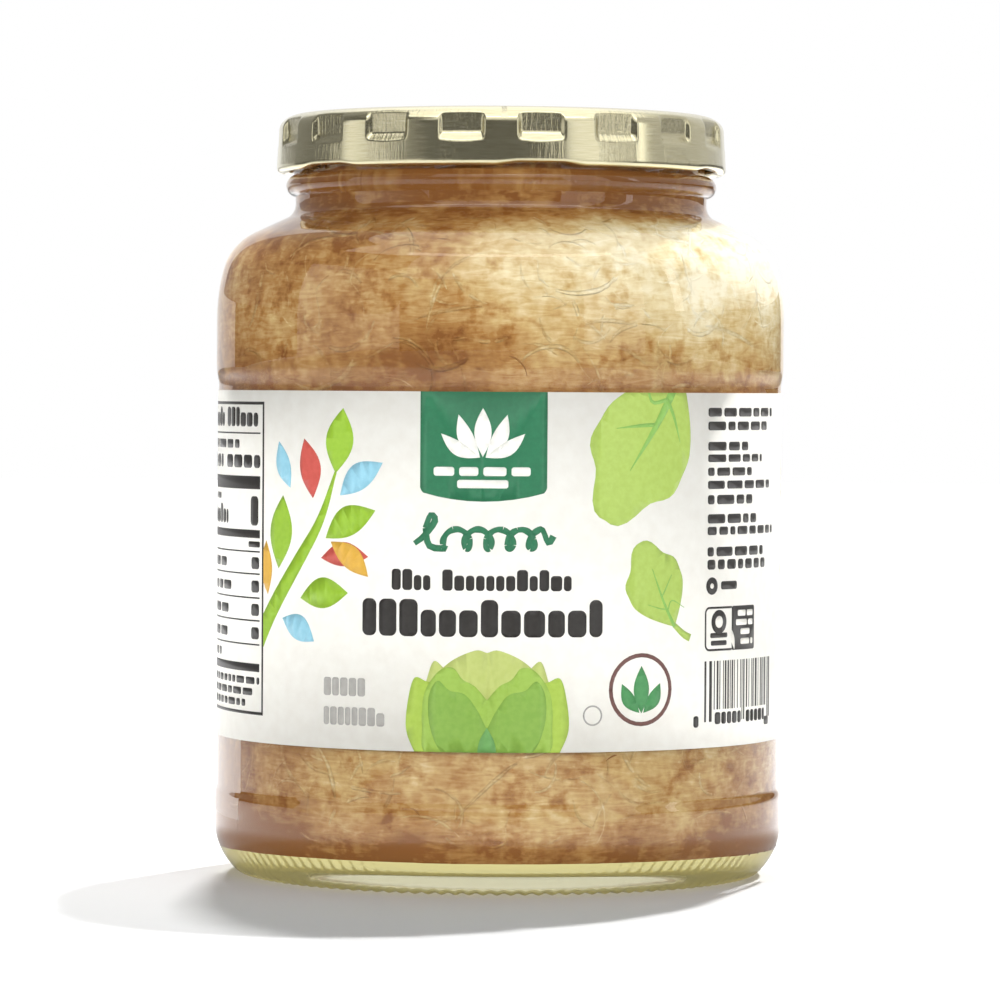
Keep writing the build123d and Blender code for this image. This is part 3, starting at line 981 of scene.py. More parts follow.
def cap(tinplate):
    """Twist-off cap: one drawn sheet with dimples round its skirt and parts of its curl folded into lugs."""
    outline = cap_outline()
    bearings = cap_bearings()
    base = turned("cap", outline, bearings)
    curl_points = sum(
        height <= CURL_CENTRE[1] + ON_AXIS or radius < CURL_INSIDE and height < SKIRT_TOP - 3
        for radius, height in outline
    )
    lug_radius = base.attributes.new("lug_radius", "FLOAT", "POINT")
    lug_height = base.attributes.new("lug_height", "FLOAT", "POINT")
    for row, (radius, height) in enumerate(outline):
        target = (radius, height)
        if row < curl_points:
            # the round curl becomes a flat loop that reaches in under the thread
            out = (radius - CURL_CENTRE[0]) / CURL_RADIUS
            up = (height - CURL_CENTRE[1]) / CURL_RADIUS
            target = (LUG_CENTRE[0] + LUG_REACH * out, LUG_CENTRE[1] + LUG_LIFT + LUG_THICKNESS * up)
        if radius > ON_AXIS:
            for column in range(len(bearings)):
                place = row * len(bearings) + column
                lug_radius.data[place].value = target[0] * MM
                lug_height.data[place].value = target[1] * MM
    lengths = [0.0]
    for first, second in zip(outline, outline[1:]):
        lengths.append(lengths[-1] + hypot(second[0] - first[0], second[1] - first[1]))
    layer = base.uv_layers.new(name="sheet")
    for loop in base.loops:
        row, column = divmod(loop.vertex_index, len(bearings))
        row = min(row, len(outline) - 1)
        along = radians(bearings[column]) * SKIRT_TOP_RADIUS
        layer.data[loop.index].uv = (along, lengths[row])
    sizes = {
        "Dimples": float(DIMPLES), "Dimple width": DIMPLE_WIDTH * MM, "Dimple low": DIMPLE_LOW * MM,
        "Dimple high": DIMPLE_HIGH * MM, "Dimple floor": DIMPLE_FLOOR * MM,
        "Skirt radius": (SKIRT_FOOT_RADIUS + 0.1) * MM, "Dimple wall": DIMPLE_WALL * MM,
        "Lugs": float(LUGS), "Lug bearing": radians(LUG_BEARING), "Lug width": LUG_WIDTH * MM,
        "Curl top": CURL_TOP * MM, "Skirt top": SKIRT_TOP * MM, "Cap top": CAP_TOP * MM,
        "Rim radius": RIM_RADIUS * MM, "Material": tinplate,
    }
    made = grown("cap", base, cap_tree(sizes), sizes)
    made.data.set_sharp_from_angle(angle=radians(60))
    return thicken(made, SHEET)


# ---- label and print ------------------------------------------------------------------------


def wrap_tree(sizes):
    """Bend a flat sheet of paper or ink, drawn in the XZ plane, round the jar."""
    tree, given = growing("wrap round the jar", sizes)
    where = node(tree, "GeometryNodeInputPosition")
    axes = node(tree, "ShaderNodeSeparateXYZ", {"Vector": where}).outputs
    angle = node(tree, "ShaderNodeMath", {0: axes["X"], 1: given["Drawn radius"]}, operation="DIVIDE")
    sine = node(tree, "ShaderNodeMath", {0: angle}, operation="SINE")
    cosine = node(tree, "ShaderNodeMath", {0: angle}, operation="COSINE")
    x = node(tree, "ShaderNodeMath", {0: sine, 1: given["Radius"]}, operation="MULTIPLY")
    depth = node(tree, "ShaderNodeMath", {0: cosine, 1: given["Radius"]}, operation="MULTIPLY")
    y = node(tree, "ShaderNodeMath", {0: depth, 1: -1.0}, operation="MULTIPLY")
    place = node(tree, "ShaderNodeCombineXYZ", {"X": x, "Y": y, "Z": axes["Z"]})
    moved = node(tree, "GeometryNodeSetPosition", {"Geometry": given["Geometry"], "Position": place})
    smooth = node(tree, "GeometryNodeSetShadeSmooth", {"Geometry": moved})
    return handed_out(tree, smooth, given["Material"])


def flat_sheet(name, shapes, cut_at_table=False):
    """Flat mesh of filled outlines in the XZ plane, creased at even bearings so that it can be bent.

    Whatever sticks out past the label's edges, or past the ruled table's border if asked, is cut off.
    """
    step = radians(WRAP_STEP) * PAPER_RADIUS
    edges = [((0, 0, LABEL_HIGH * MM), (0, 0, 1)), ((0, 0, LABEL_LOW * MM), (0, 0, -1))]
    if cut_at_table:
        edges.append(((TABLE_EDGE * MM, 0, 0), (-1, 0, 0)))
    sheet = bmesh.new()
    for shape in shapes:
        cell = bmesh.new()
        loop = [cell.verts.new((along * MM, 0, height * MM)) for along, height in shape]
        face = cell.faces.new(loop)
        face.normal_update()
        if face.normal.y > 0:
            face.normal_flip()
        bmesh.ops.triangulate(cell, faces=cell.faces[:])
        left = min(point[0] for point in shape)
        right = max(point[0] for point in shape)
        for crease in range(ceil(left / step), floor(right / step) + 1):
            bmesh.ops.bisect_plane(
                cell, geom=cell.verts[:] + cell.edges[:] + cell.faces[:], dist=CUT_TOLERANCE,
                plane_co=(crease * step * MM, 0, 0), plane_no=(1, 0, 0),
            )
        for edge, facing in edges:
            bmesh.ops.bisect_plane(
                cell, geom=cell.verts[:] + cell.edges[:] + cell.faces[:], dist=CUT_TOLERANCE, plane_co=edge,
                plane_no=facing, clear_outer=True,
            )
        cell.verts.ensure_lookup_table()
        copies = [sheet.verts.new(vert.co) for vert in cell.verts]
        for number, vert in enumerate(cell.verts):
            vert.index = number
        for face in cell.faces:
            sheet.faces.new([copies[vert.index] for vert in face.verts])
        cell.free()
    mesh = bpy.data.meshes.new(name)
    sheet.to_mesh(mesh)
    sheet.free()
    return mesh


def wrapped(name, shapes, layer, thickness, surface, cut_at_table=False):
    """Paper or ink as a thin closed sheet round the jar. The layer counts the inks under its face."""
    sizes = {
        "Radius": (PAPER_RADIUS + layer * INK) * MM, "Drawn radius": PAPER_RADIUS * MM, "Material": surface
    }
    tree = bpy.data.node_groups.get("wrap round the jar") or wrap_tree(sizes)
    made = grown(name, flat_sheet(name, shapes, cut_at_table), tree, sizes)
    return thicken(made, thickness)


def rounded(left, low, right, high, radius, round_low=True, round_high=True):
    """Outline of a rectangle with rounded corners."""
    points = []
    for corner_along, corner_height, start, is_round in (
        (right - radius, high - radius, 0, round_high), (left + radius, high - radius, 90, round_high),
        (left + radius, low + radius, 180, round_low), (right - radius, low + radius, 270, round_low),
    ):
        if is_round:
            points += arc((corner_along, corner_height), radius, start, start + 90, 6)
        else:
            points.append(on_circle((corner_along, corner_height), radius * sqrt(2), start + 45))
    return points


def disc(along, height, radius, steps=32):
    """Outline of a disc."""
    return arc((along, height), radius, 0, 360 - 360 / steps, steps - 1)


def leaf(stem, tip, width, bow=0.0, fullness=0.5, steps=14):
    """Outline of a pointed leaf from stem to tip, bent to its left by the bow and widest at the fullness."""
    length = hypot(tip[0] - stem[0], tip[1] - stem[1])
    ahead = ((tip[0] - stem[0]) / length, (tip[1] - stem[1]) / length)
    aside = (-ahead[1], ahead[0])
    left, right = [], []
    power = log(0.5) / log(fullness)
    for step in range(steps + 1):
        part = step / steps
        swell = sin(pi * part**power) * width / 2
        middle = bow * sin(pi * part)
        for side, row in ((1, left), (-1, right)):
            off = middle + side * swell
            row.append(
                (
                    stem[0] + ahead[0] * part * length + aside[0] * off,
                    stem[1] + ahead[1] * part * length + aside[1] * off,
                )
            )
    return right + left[-2:0:-1]


def through(knots, steps=8):
    """Smooth curve through knots, as points (Catmull-Rom)."""
    ends = [
        tuple(2 * a - b for a, b in zip(knots[0], knots[1])),
        *knots,
        tuple(2 * a - b for a, b in zip(knots[-1], knots[-2])),
    ]
    points = []
    for p0, p1, p2, p3 in zip(ends, ends[1:], ends[2:], ends[3:]):
        for step in range(steps):
            t = step / steps
            points.append(
                tuple(
                    b + (
                        (c - a) * t + (2 * a - 5 * b + 4 * c - d) * t**2 + (3 * b - a - 3 * c + d) * t**3
                    ) / 2
                    for a, b, c, d in zip(p0, p1, p2, p3)
                )
            )
    points.append(tuple(knots[-1]))
    return points


def stroke(knots, steps=8):
    """Outline of a brush stroke through knots of (along, height, width)."""
    spine = through(knots, steps)
    left, right = [], []
    for number, (along, height, width) in enumerate(spine):
        before = spine[max(number - 1, 0)]
        after = spine[min(number + 1, len(spine) - 1)]
        length = hypot(after[0] - before[0], after[1] - before[1])
        aside = (-(after[1] - before[1]) / length, (after[0] - before[0]) / length)
        left.append((along + aside[0] * width / 2, height + aside[1] * width / 2))
        right.append((along - aside[0] * width / 2, height - aside[1] * width / 2))
    return right + left[::-1]


def blurred_words(left, right, low, high, dice, word=(2.0, 6.5), gap=0.9):
    """Bars that stand for the words of a line of small type."""
    bars, start = [], left
    while start < right - word[0] / 2:
        end = min(start + dice.uniform(*word), right)
        bars.append(rounded(start, low, end, high, (high - low) * 0.3))
        start = end + gap
    return bars


def blurred_letters(left, right, low, high, dice, wide, tall=0.3):
    """Rounded blocks that stand for the letters of a large word; some reach up as ascenders do."""
    blocks, start = [], left
    gap = wide * 0.16
    while start < right - wide * 0.4:
        end = min(start + wide * dice.uniform(0.75, 1.1), right)
        top = high if dice.random() < tall or not blocks else low + (high - low) * 0.72
        blocks.append(rounded(start, low, end, top, min(0.32 * wide, 0.45 * (top - low))))
        start = end + gap
    return blocks


def mirrored(shapes, axis):
    """Shapes and their mirror images about an upright line."""
    return shapes + [[(2 * axis - along, height) for along, height in shape] for shape in shapes]


def green_tab():
    """Plain tab that hangs from the label's top edge; its foot bows down in the middle."""
    left, right, side, foot = -14.4, 8.6, 72.1, 70.4
    middle, radius = (left + right) / 2, 39.7
    corner = 0.8
    bow = [
        (middle + radius * sin(radians(angle)), foot + radius - radius * cos(radians(angle)))
        for angle in range(-16, 17, 4)
    ]
    return [
        [(left, LABEL_HIGH), (left, side + corner), (left + 0.2, side + 0.3)]
        + bow
        + [(right - 0.2, side + 0.3), (right, side + corner), (right, LABEL_HIGH)]
    ]


def tab_emblem():
    """Generic sprout of five leaves over two lines of blurred small type."""
    dice = random.Random(4)
    middle = -3.0
    shapes = [leaf((middle, 78.4), (middle, 87.2), 3.1)]
    for spread, rise_to, wide in ((4.4, 86.0, 2.8), (7.6, 82.6, 2.5)):
        shapes += mirrored([leaf((middle - 0.5, 78.3), (middle - spread, rise_to), wide, bow=0.7)], middle)
    shapes += blurred_words(-11.9, 5.6, 75.0, 76.6, dice, word=(3.2, 5.6))
    shapes += blurred_words(-7.6, 1.6, 72.8, 74.3, dice, word=(9.2, 9.3))
    return shapes


def flourish():
    """Brush flourish in the place of a script word: a tall loop, a row of small ones and a tail."""
    knots = [(-15.4, 62.8), (-13.6, 64.2), (-11.6, 66.9), (-12.4, 68.0), (-13.4, 65.6), (-12.6, 62.4)]
    steps = 60
    for step in range(steps + 1):
        part = step / steps
        turn = 2 * pi * (4.5 * part - 0.25)
        knots.append((-9.6 + 17.4 * part - 1.35 * cos(turn), 63.7 + 1.75 * sin(turn)))
    knots += [(8.9, 63.0), (9.8, 64.3)]
    inked = [(*knot, 0.95 + 0.3 * sin(0.9 * number) ** 2) for number, knot in enumerate(knots)]
    return [stroke(inked[start : start + 5], 3) for start in range(0, len(inked) - 1, 4)]


def heading_words():
    """Two-word line and the large word under it, as rounded blocks."""
    dice = random.Random(12)
    shapes = blurred_letters(-19.7, -12.4, 54.4, 58.2, dice, 1.9)
    shapes += blurred_letters(-10.2, 13.2, 54.4, 58.2, dice, 1.9)
    return shapes + blurred_letters(-25.5, 19.1, 46.1, 52.8, dice, 3.5, tall=0.28)


def facts_box():
    """Ruled table at the label's left: border, thin rules, thick bars and blurred figures."""
    dice = random.Random(21)
    left, right, low, high = -84.0, TABLE_EDGE, 30.4, 88.0
    thin, line = 0.28, 0.55
    shapes = [
        rounded(left, high - line, right, high, 0.05), rounded(left, low, right, low + line, 0.05),
        rounded(left, low + line, left + line, high - line, 0.05),
        rounded(right - line, low + line, right, high - line, 0.05),
    ]
    inner, outer = left + 1.4, right - 1.3
    for height in (82.2, 60.4, 56.3, 51.9, 47.7, 43.3):
        shapes.append(rounded(inner, height - thin / 2, outer, height + thin / 2, 0.05))
    for bar_low, bar_high in ((71.9, 74.3), (62.9, 64.4), (38.3, 39.8)):
        shapes.append(rounded(inner, bar_low, outer, bar_high, 0.05))
    shapes += blurred_letters(inner, -68.5, 83.4, 87.0, dice, 2.2)
    shapes += blurred_letters(-66.8, outer - 0.5, 83.4, 87.0, dice, 2.2)
    shapes += blurred_words(inner, -60.0, 79.4, 81.0, dice)
    shapes += blurred_words(inner, -70.0, 75.8, 78.2, dice, word=(3.0, 6.0))
    shapes += blurred_words(-67.0, outer, 75.8, 78.2, dice, word=(2.6, 5.0), gap=0.7)
    shapes += blurred_words(inner, -72.0, 69.9, 71.0, dice)
    shapes += blurred_letters(inner, -66.0, 65.4, 69.0, dice, 2.3)
    shapes.append(rounded(outer - 3.4, 65.2, outer - 0.6, 70.6, 0.9))
    shapes += blurred_words(outer - 4.2, outer, 61.2, 62.3, dice, word=(4.2, 4.3))
    for row in (57.4, 53.1, 48.8, 44.5):
        shapes += blurred_words(inner, dice.uniform(-68.0, -64.0), row, row + 1.7, dice, word=(3.0, 7.0))
        shapes.append(rounded(outer - 3.0, row - 0.2, outer - 0.2, row + 2.0, 0.6))
    shapes += blurred_words(inner, -71.0, 40.7, 42.2, dice)
    for row, end in ((36.0, outer), (33.9, -53.0), (31.8, -55.5)):
        shapes += blurred_words(inner, end, row, row + 1.3, dice, word=(1.4, 4.0), gap=0.7)
    return shapes


def small_type():
    """Blurred lines at the label's right; the lines set bold are a little taller."""
    dice = random.Random(33)
    shapes = []
    lines = (
        (87.4, 1.6, 66.6), (84.9, 1.6, 63.5), (81.2, 1.6, 55.0), (78.9, 1.4, 61.0), (76.5, 1.5, 56.5),
        (74.1, 1.5, 65.9), (71.5, 1.7, 57.5), (68.0, 1.7, 58.5), (65.7, 1.5, 67.2), (62.0, 1.7, 61.8),
        (59.7, 1.8, 62.8),
    )
    for top, tall, end in lines:
        shapes += blurred_words(42.3, end, top - tall, top, dice, word=(1.6, 5.4), gap=0.75)
    shapes += blurred_words(46.2, 51.2, 54.2, 55.7, dice, word=(5.0, 5.1))
    shapes.append(disc(43.6, 54.9, 1.6))
    return shapes + blurred_words(63.0, 65.5, 28.6, 30.2, dice)


def badge():
    """Framed badge: a thin rounded frame with its right half filled."""
    left, low, right, high, line = 41.7, 43.0, 57.9, 51.1, 0.4
    middle = 49.6
    return [
        rounded(left + 1.2, high - line, middle, high, 0.05),
        rounded(left + 1.2, low, middle, low + line, 0.05),
        rounded(left, low + 1.2, left + line, high - 1.2, 0.05),
        corner_line((left + 1.2, high - 1.2), 1.2, line, 90),
        corner_line((left + 1.2, low + 1.2), 1.2, line, 180), rounded(middle, low, right, high, 0.5),
        disc(45.7, 48.3, 2.2), rounded(43.2, 45.4, 48.2, 46.3, 0.3), rounded(43.4, 44.0, 48.0, 44.9, 0.3),
    ]


def corner_line(centre, radius, line, start):
    """Quarter of a thin ring."""
    return arc(centre, radius, start, start + 90, 5) + arc(centre, radius - line, start + 90, start, 5)


def badge_lights():
    """Paper-coloured marks on the badge's dark half, the dot and the roundel."""
    dice = random.Random(17)
    shapes = [disc(45.7, 48.3, 1.1), disc(43.6, 54.9, 0.5, 12)]
    for row, start in ((49.3, 51.6), (47.6, 51.0), (45.9, 52.6), (44.1, 52.6)):
        shapes += blurred_words(start, 57.2, row - 0.1, row + 1.0, dice, word=(1.5, 4.0), gap=0.5)
    return shapes + [leaf((50.5, 43.1), (49.4, 47.0), 1.1)]


def bar_block():
    """Upright bars of uneven width, with the ones at the ends and in the middle longer."""
    dice = random.Random(45)
    left, right, low, high = 41.7, 65.8, 32.3, 41.2
    shapes, along = [], left
    while along < right:
        wide = dice.choice((0.26, 0.26, 0.5, 0.75))
        guard = along < left + 1.6 or abs(along - (left + right) / 2) < 0.9 or along > right - 1.6
        shapes.append(rounded(along, low - (2.2 if guard else 0), along + wide, high, 0.05))
        along += wide + dice.choice((0.3, 0.3, 0.55, 0.8))
    for start, end in ((44.6, 52.9), (54.8, 63.2)):
        shapes += blurred_letters(start, end, 29.6, 31.8, dice, 1.6, tall=1.0)
    return shapes + [rounded(38.9, 29.2, 40.2, 31.3, 0.5)]


def quiet_type():
    """Pale grey marks: two lines at the lower left."""
    dice = random.Random(52)
    shapes = blurred_letters(-33.8, -24.9, 35.0, 38.3, dice, 1.5, tall=0.9)
    return shapes + blurred_letters(-33.8, -20.2, 29.7, 33.0, dice, 1.5, tall=0.9)


def ring(along, height, radius, line):
    """A plain ring as two half rings."""
    return [
        arc((along, height), radius, start, start + 180, 16) + arc(
            (along, height), radius - line, start + 180, start, 16
        )
        for start in (0, 180)
    ]


def on_cabbage(knots, *more):
    """Smooth curve through knots of (off the cabbage's axis, above its foot), then on to more of them."""
    return [(CABBAGE_AXIS + off, CABBAGE_FOOT + up) for off, up in [*through(knots, 5), *more]]


def cabbage_part(knots):
    """Mirror-image outline about the cabbage's axis, from the knots on its right."""
    right = on_cabbage(knots)
    left = [
        (2 * CABBAGE_AXIS - along, height)
        for along, height in reversed(right)
        if along > CABBAGE_AXIS + 0.01
    ]
    return right + left


def heart():
    """Pale dome of the cabbage's heart with two leaf tips behind it."""
    dome_part = cabbage_part([(0.0, 9.0), (9.6, 9.0), (9.4, 13.6), (6.6, 16.8), (2.2, 18.8), (0.0, 18.4)])
    tip = on_cabbage([(7.6, 15.4), (9.7, 16.8), (11.2, 12.8)], (9.0, 12.0))
    return [dome_part] + mirrored([tip], CABBAGE_AXIS)


def outer_leaves():
    """Brightest leaves at the cabbage's two sides."""
    knots = [(13.0, 0.0), (14.8, 4.5), (14.4, 10.0), (13.2, 13.8), (10.8, 13.1), (8.6, 13.4)]
    return mirrored([on_cabbage(knots, (6.0, 10.0), (6.0, 0.0))], CABBAGE_AXIS)


def middle_leaves():
    """Leaves whose curled edges meet in a notch before the heart."""
    return [
        cabbage_part(
            [
                (0.0, 0.0), (10.6, 0.0), (11.8, 5.0), (11.4, 11.0), (8.8, 15.0), (6.2, 15.7), (4.4, 13.6),
                (2.2, 12.4), (0.0, 9.9),
            ]
        )
    ]


def front_leaves():
    """Darker front leaves that meet lower down."""
    return [
        cabbage_part(
            [
                (0.0, 0.0), (7.4, 0.0), (10.2, 4.6), (10.6, 10.2), (9.0, 13.3), (6.8, 11.6), (4.0, 10.9),
                (1.8, 8.2), (0.0, 4.7),
            ]
        )
    ]


def leaf_overlap():
    """Darkest slip where the two front leaves cross."""
    return [cabbage_part([(0.0, 0.0), (1.6, 0.0), (1.3, 2.6), (0.0, 5.0)])]


def lobed_leaf(stem, tip, width, bow, ripple):
    """Leaf with shallow lobes towards its tip."""
    plain = leaf(stem, tip, width, bow, 0.5, 26)
    length = hypot(tip[0] - stem[0], tip[1] - stem[1])
    middle = ((stem[0] + tip[0]) / 2, (stem[1] + tip[1]) / 2)
    shape = []
    for along, height in plain:
        part = (
            (along - stem[0]) * (tip[0] - stem[0]) + (height - stem[1]) * (tip[1] - stem[1])
        ) / length**2
        swell = 1 + ripple * sin(7.2 * pi * part) * max(0.0, part - 0.35)
        shape.append((middle[0] + (along - middle[0]) * swell, middle[1] + (height - middle[1]) * swell))
    return shape


def loose_leaves():
    """Two loose leaves right of the heading, one cut off by the label's top edge."""
    stalk = stroke([(37.9, 45.6, 1.4), (36.2, 46.4, 1.3), (33.9, 48.2, 0.9)], 4)
    return [lobed_leaf(*BIG_LEAF, 20.5, 0.0, 0.16), lobed_leaf(*SMALL_LEAF, 12.4, 0.4, 0.14), stalk]


def vein(leaf_line, knots, steps):
    """Stroke through knots of (part of the way to the tip, off the midrib, width)."""
    (x, y), (tip_x, tip_y) = leaf_line
    ahead, up = tip_x - x, tip_y - y
    return stroke(
        [(x + ahead * part - up * off, y + up * part + ahead * off, width) for part, off, width in knots],
        steps,
    )


def veins():
    """Midribs and side veins of the loose leaves, tapering away from the stem."""
    shapes = []
    for leaf_line, thick in ((BIG_LEAF, 1.5), (SMALL_LEAF, 0.55)):
        shapes.append(
            vein(leaf_line, [(0.0, 0, thick * 1.3), (0.3, 0.012, thick * 0.9), (0.66, -0.01, 0.12)], 5)
        )
        for start, reach, side in ((0.2, 0.12, -1), (0.2, 0.36, 1), (0.36, 0.5, -1)):
            knots = [
                (start, 0, thick * 0.5), (start + 0.06, side * 0.09, thick * 0.4), (reach, side * 0.2, 0.1)
            ]
            shapes.append(vein(leaf_line, knots, 4))
    return shapes


def sprig_stem():
    """Stem that grows out from behind the ruled table and thins to its tip."""
    return [
        stroke(
            [
                (-53.5, 41.5, 3.9), (-48.4, 48.8, 3.4), (-39.8, 59.6, 2.6), (-34.8, 66.8, 1.7),
                (-31.4, 75.4, 0.5),
            ],
            6,
        )
    ]


def sprig_leaves(colour):
    """Leaves of one colour beside the stem: (foot, tip, width, bow) each."""
    leaves = {
        "lime": [
            ((-31.4, 75.2), (-29.8, 87.0), 6.0, 0.0), ((-45.6, 57.6), (-44.4, 71.0), 6.2, 0.0),
            ((-39.6, 52.4), (-28.6, 53.6), 5.6, 0.5), ((-33.6, 63.4), (-23.0, 68.6), 5.4, 0.7),
        ],
        "red": [((-36.6, 70.6), (-38.8, 81.4), 5.0, -0.4), ((-34.6, 59.8), (-24.4, 60.2), 4.4, 0.6)],
        "blue": [
            ((-42.4, 72.4), (-45.6, 80.8), 3.8, 0.4),
            ((-30.4, 71.2), (-21.6, 77.2), 4.8, 0.6),
            ((-44.4, 48.6), (-36.2, 44.6), 4.6, 0.5),
        ],
        "orange": [((-48.8, 52.8), (-49.4, 62.6), 3.6, 0.3), ((-32.4, 62.8), (-24.4, 56.6), 4.2, 0.5)],
    }
    return [leaf(foot, tip, width, bow) for foot, tip, width, bow in leaves[colour]]


def roundel_leaves():
    """Three small leaves inside the roundel."""
    shapes = [leaf((27.0, 32.2), (27.0, 40.8), 3.2)]
    return shapes + mirrored([leaf((27.4, 32.3), (31.0, 37.6), 2.6, -0.5)], 27.0)


def raised(shapes):
    """Shapes lifted from the layout's height to the label's."""
    return [[(along, height + PRINT_RISE) for along, height in shape] for shape in shapes]


def print_label():
    """Every ink of the label as a piece of its own, from the lowest to the topmost."""
    work = (
        ("print_heart", heart(), 1, ink("pale_green_ink", "#bbc775", "#b5c26d")),
        ("print_outer_leaves", outer_leaves(), 2, ink("bright_green_ink", "#a7c34e", "#9fbc47")),
        ("print_middle_leaves", middle_leaves(), 3, ink("spring_green_ink", "#9bbd53", "#94b64b")),
        ("print_front_leaves", front_leaves(), 4, ink("leaf_green_ink", "#87ae4b", "#7fa745")),
        ("print_leaf_overlap", leaf_overlap(), 5, ink("deep_green_ink", "#6fa75e", "#68a058")),
        ("print_loose_leaves", loose_leaves(), 1, ink("young_leaf_ink", "#a7c15d", "#a0b954")),
        ("print_veins", veins(), 2, ink("vein_ink", "#85b556", "#80b052")),
        ("print_green", green_tab() + flourish(), 1, ink("bottle_green_ink", "#2b7450", "#276d4b")),
        ("print_white", tab_emblem(), 2, ink("white_ink", "#f1f1ea", "#eaeae2")),
        ("print_stem", sprig_stem(), 1, ink("lime_ink", "#92ba2a", "#8bb526")),
        ("print_lime", sprig_leaves("lime"), 2, ink("grass_ink", "#94bc31", "#8db62b")),
        ("print_red", sprig_leaves("red"), 3, ink("red_ink", "#c75349", "#bf4c41")),
        ("print_blue", sprig_leaves("blue"), 3, ink("sky_blue_ink", "#93c9dc", "#8ac2d6")),
        ("print_orange", sprig_leaves("orange"), 4, ink("orange_ink", "#dbac41", "#d4a33a")),
        (
            "print_black",
            heading_words() + facts_box() + small_type() + badge() + bar_block(),
            1,
            ink("black_ink", "#2b2825", "#24211e"),
        ),
        ("print_knockout", badge_lights(), 2, ink("bare_paper", "#eae8e0", "#e4e2d9")),
        (
            "print_grey", quiet_type() + ring(17.3, 32.0, 1.85, 0.3), 1,
            ink("grey_ink", "#a9a7a2", "#a19f9a"),
        ),
        ("print_brown", ring(27.0, 36.5, 6.6, 0.75), 1, ink("brown_ink", "#6d4a44", "#64423c")),
        ("print_roundel", roundel_leaves(), 1, ink("seal_green_ink", "#4a9056", "#438850")),
    )
    return [
        wrapped(name, raised(shapes), layer, layer * INK + 0.02, surface, name in FROM_BEHIND_TABLE)
        for name, shapes, layer, surface in work
    ]


# ---- contents -------------------------------------------------------------------------------


def relief_tree(sizes):
    """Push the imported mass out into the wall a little, unevenly, as pressed shreds do."""
    tree, given = growing("packed relief", sizes)
    where = node(tree, "GeometryNodeInputPosition")
    facing = node(tree, "GeometryNodeInputNormal")
    bumps = node(tree, "ShaderNodeTexNoise", {"Vector": where, "Scale": given["Scale"], "Detail": 3.0})
    axes, _, _, radius = round_the_axis(tree)
    is_low = node(tree, "ShaderNodeMath", {0: axes["Z"], 1: given["Underside top"]}, operation="LESS_THAN")
    is_in = node(tree, "ShaderNodeMath", {0: radius, 1: given["Underside radius"]}, operation="LESS_THAN")
    under = node(tree, "ShaderNodeMath", {0: is_low, 1: is_in}, operation="MULTIPLY")
    aside = node(tree, "ShaderNodeMath", {0: 1.0, 1: under}, operation="SUBTRACT")
    relief = node(tree, "ShaderNodeMath", {0: given["Relief"], 1: aside}, operation="MULTIPLY")
    push = node(
        tree, "ShaderNodeMapRange", {"Value": bumps, "From Min": 0.3, "From Max": 0.7, "To Max": relief}
    )
    offset = node(tree, "ShaderNodeVectorMath", {0: facing, "Scale": push}, operation="SCALE")
    tone = node(
        tree,
        "GeometryNodeStoreNamedAttribute",
        {"Geometry": given["Geometry"], "Name": "tone", "Value": bumps},
        data_type="FLOAT",
        domain="POINT",
    )
    moved = node(tree, "GeometryNodeSetPosition", {"Geometry": tone, "Offset": offset})
    realized = node(tree, "GeometryNodeRealizeInstances", {"Geometry": moved})
    packed = node(tree, "GeometryNodeSetMaterial", {"Geometry": realized, "Material": given["Material"]})
    finished = node(
        tree,
        "GeometryNodeSetMaterial",
        {"Geometry": packed, "Selection": under, "Material": given["Underside"]},
    )
    node(tree, "NodeGroupOutput", {"Geometry": finished})
    return tree


def packed_core(surface, underside):
    """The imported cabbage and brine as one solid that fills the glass."""
    outline = joined(
        inside_outline(WALL - CORE_REACH, FILL_LEVEL, 9), [(20.0, FILL_LEVEL), (0, FILL_LEVEL)]
    )
    base = turned("packed_core", outline, [360 * number / CORE_COLUMNS for number in range(CORE_COLUMNS)])
    sizes = {
        "Scale": 260.0, "Relief": CORE_RELIEF * MM, "Underside top": (FLOOR_CROWN + 1) * MM,
        "Underside radius": UNDERSIDE_RADIUS * MM, "Material": surface, "Underside": underside,
    }
    return grown("packed_core", base, relief_tree(sizes), sizes)


def shred_shape(name, dice, length, width, thickness, curl, rings=9, sides=4):
    """One shred along x: a flattened tube with tapered ends, bent in its own plane."""
    heading = -curl / 2
    along, across = 0.0, 0.0
    wave = dice.uniform(0, 2 * pi)
    spine = []
    for ring in range(rings):
        part = ring / (rings - 1)
        spine.append((along, across, heading, part))
        heading += curl / (rings - 1) + dice.uniform(-0.12, 0.12)
        along += length / (rings - 1) * cos(heading)
        across += length / (rings - 1) * sin(heading)
    middle = (spine[-1][0] / 2, sum(place[1] for place in spine) / rings)
    points, faces = [], []
    for x, y, heading, part in spine:
        swell = max(sin(pi * min(max(part, 0.04), 0.96)), 0.0) ** 0.45
        half = width / 2 * swell * (1 + 0.22 * sin(5 * part + wave))
        for side in range(sides):
            angle = 2 * pi * side / sides
            off = half * cos(angle)
            points.append(
                (
                    (x - middle[0] - off * sin(heading)) * MM,
                    (y - middle[1] + off * cos(heading)) * MM,
                    thickness / 2 * swell * sin(angle) * MM,
                )
            )
    for ring in range(rings - 1):
        for side in range(sides):
            after = (side + 1) % sides
            a, b = ring * sides + side, ring * sides + after
            faces.append((a, a + sides, b + sides, b))
    faces.append(tuple(range(sides)))
    faces.append(tuple(reversed(range((rings - 1) * sides, rings * sides))))
    mesh = bpy.data.meshes.new(name)
    mesh.from_pydata(points, [], faces)
    mesh.shade_smooth()
    lift = mesh.attributes.new("lift", "FLOAT", "POINT")
    for number, point in enumerate(points):
        lift.data[number].value = point[2]
    return bpy.data.objects.new(name, mesh)


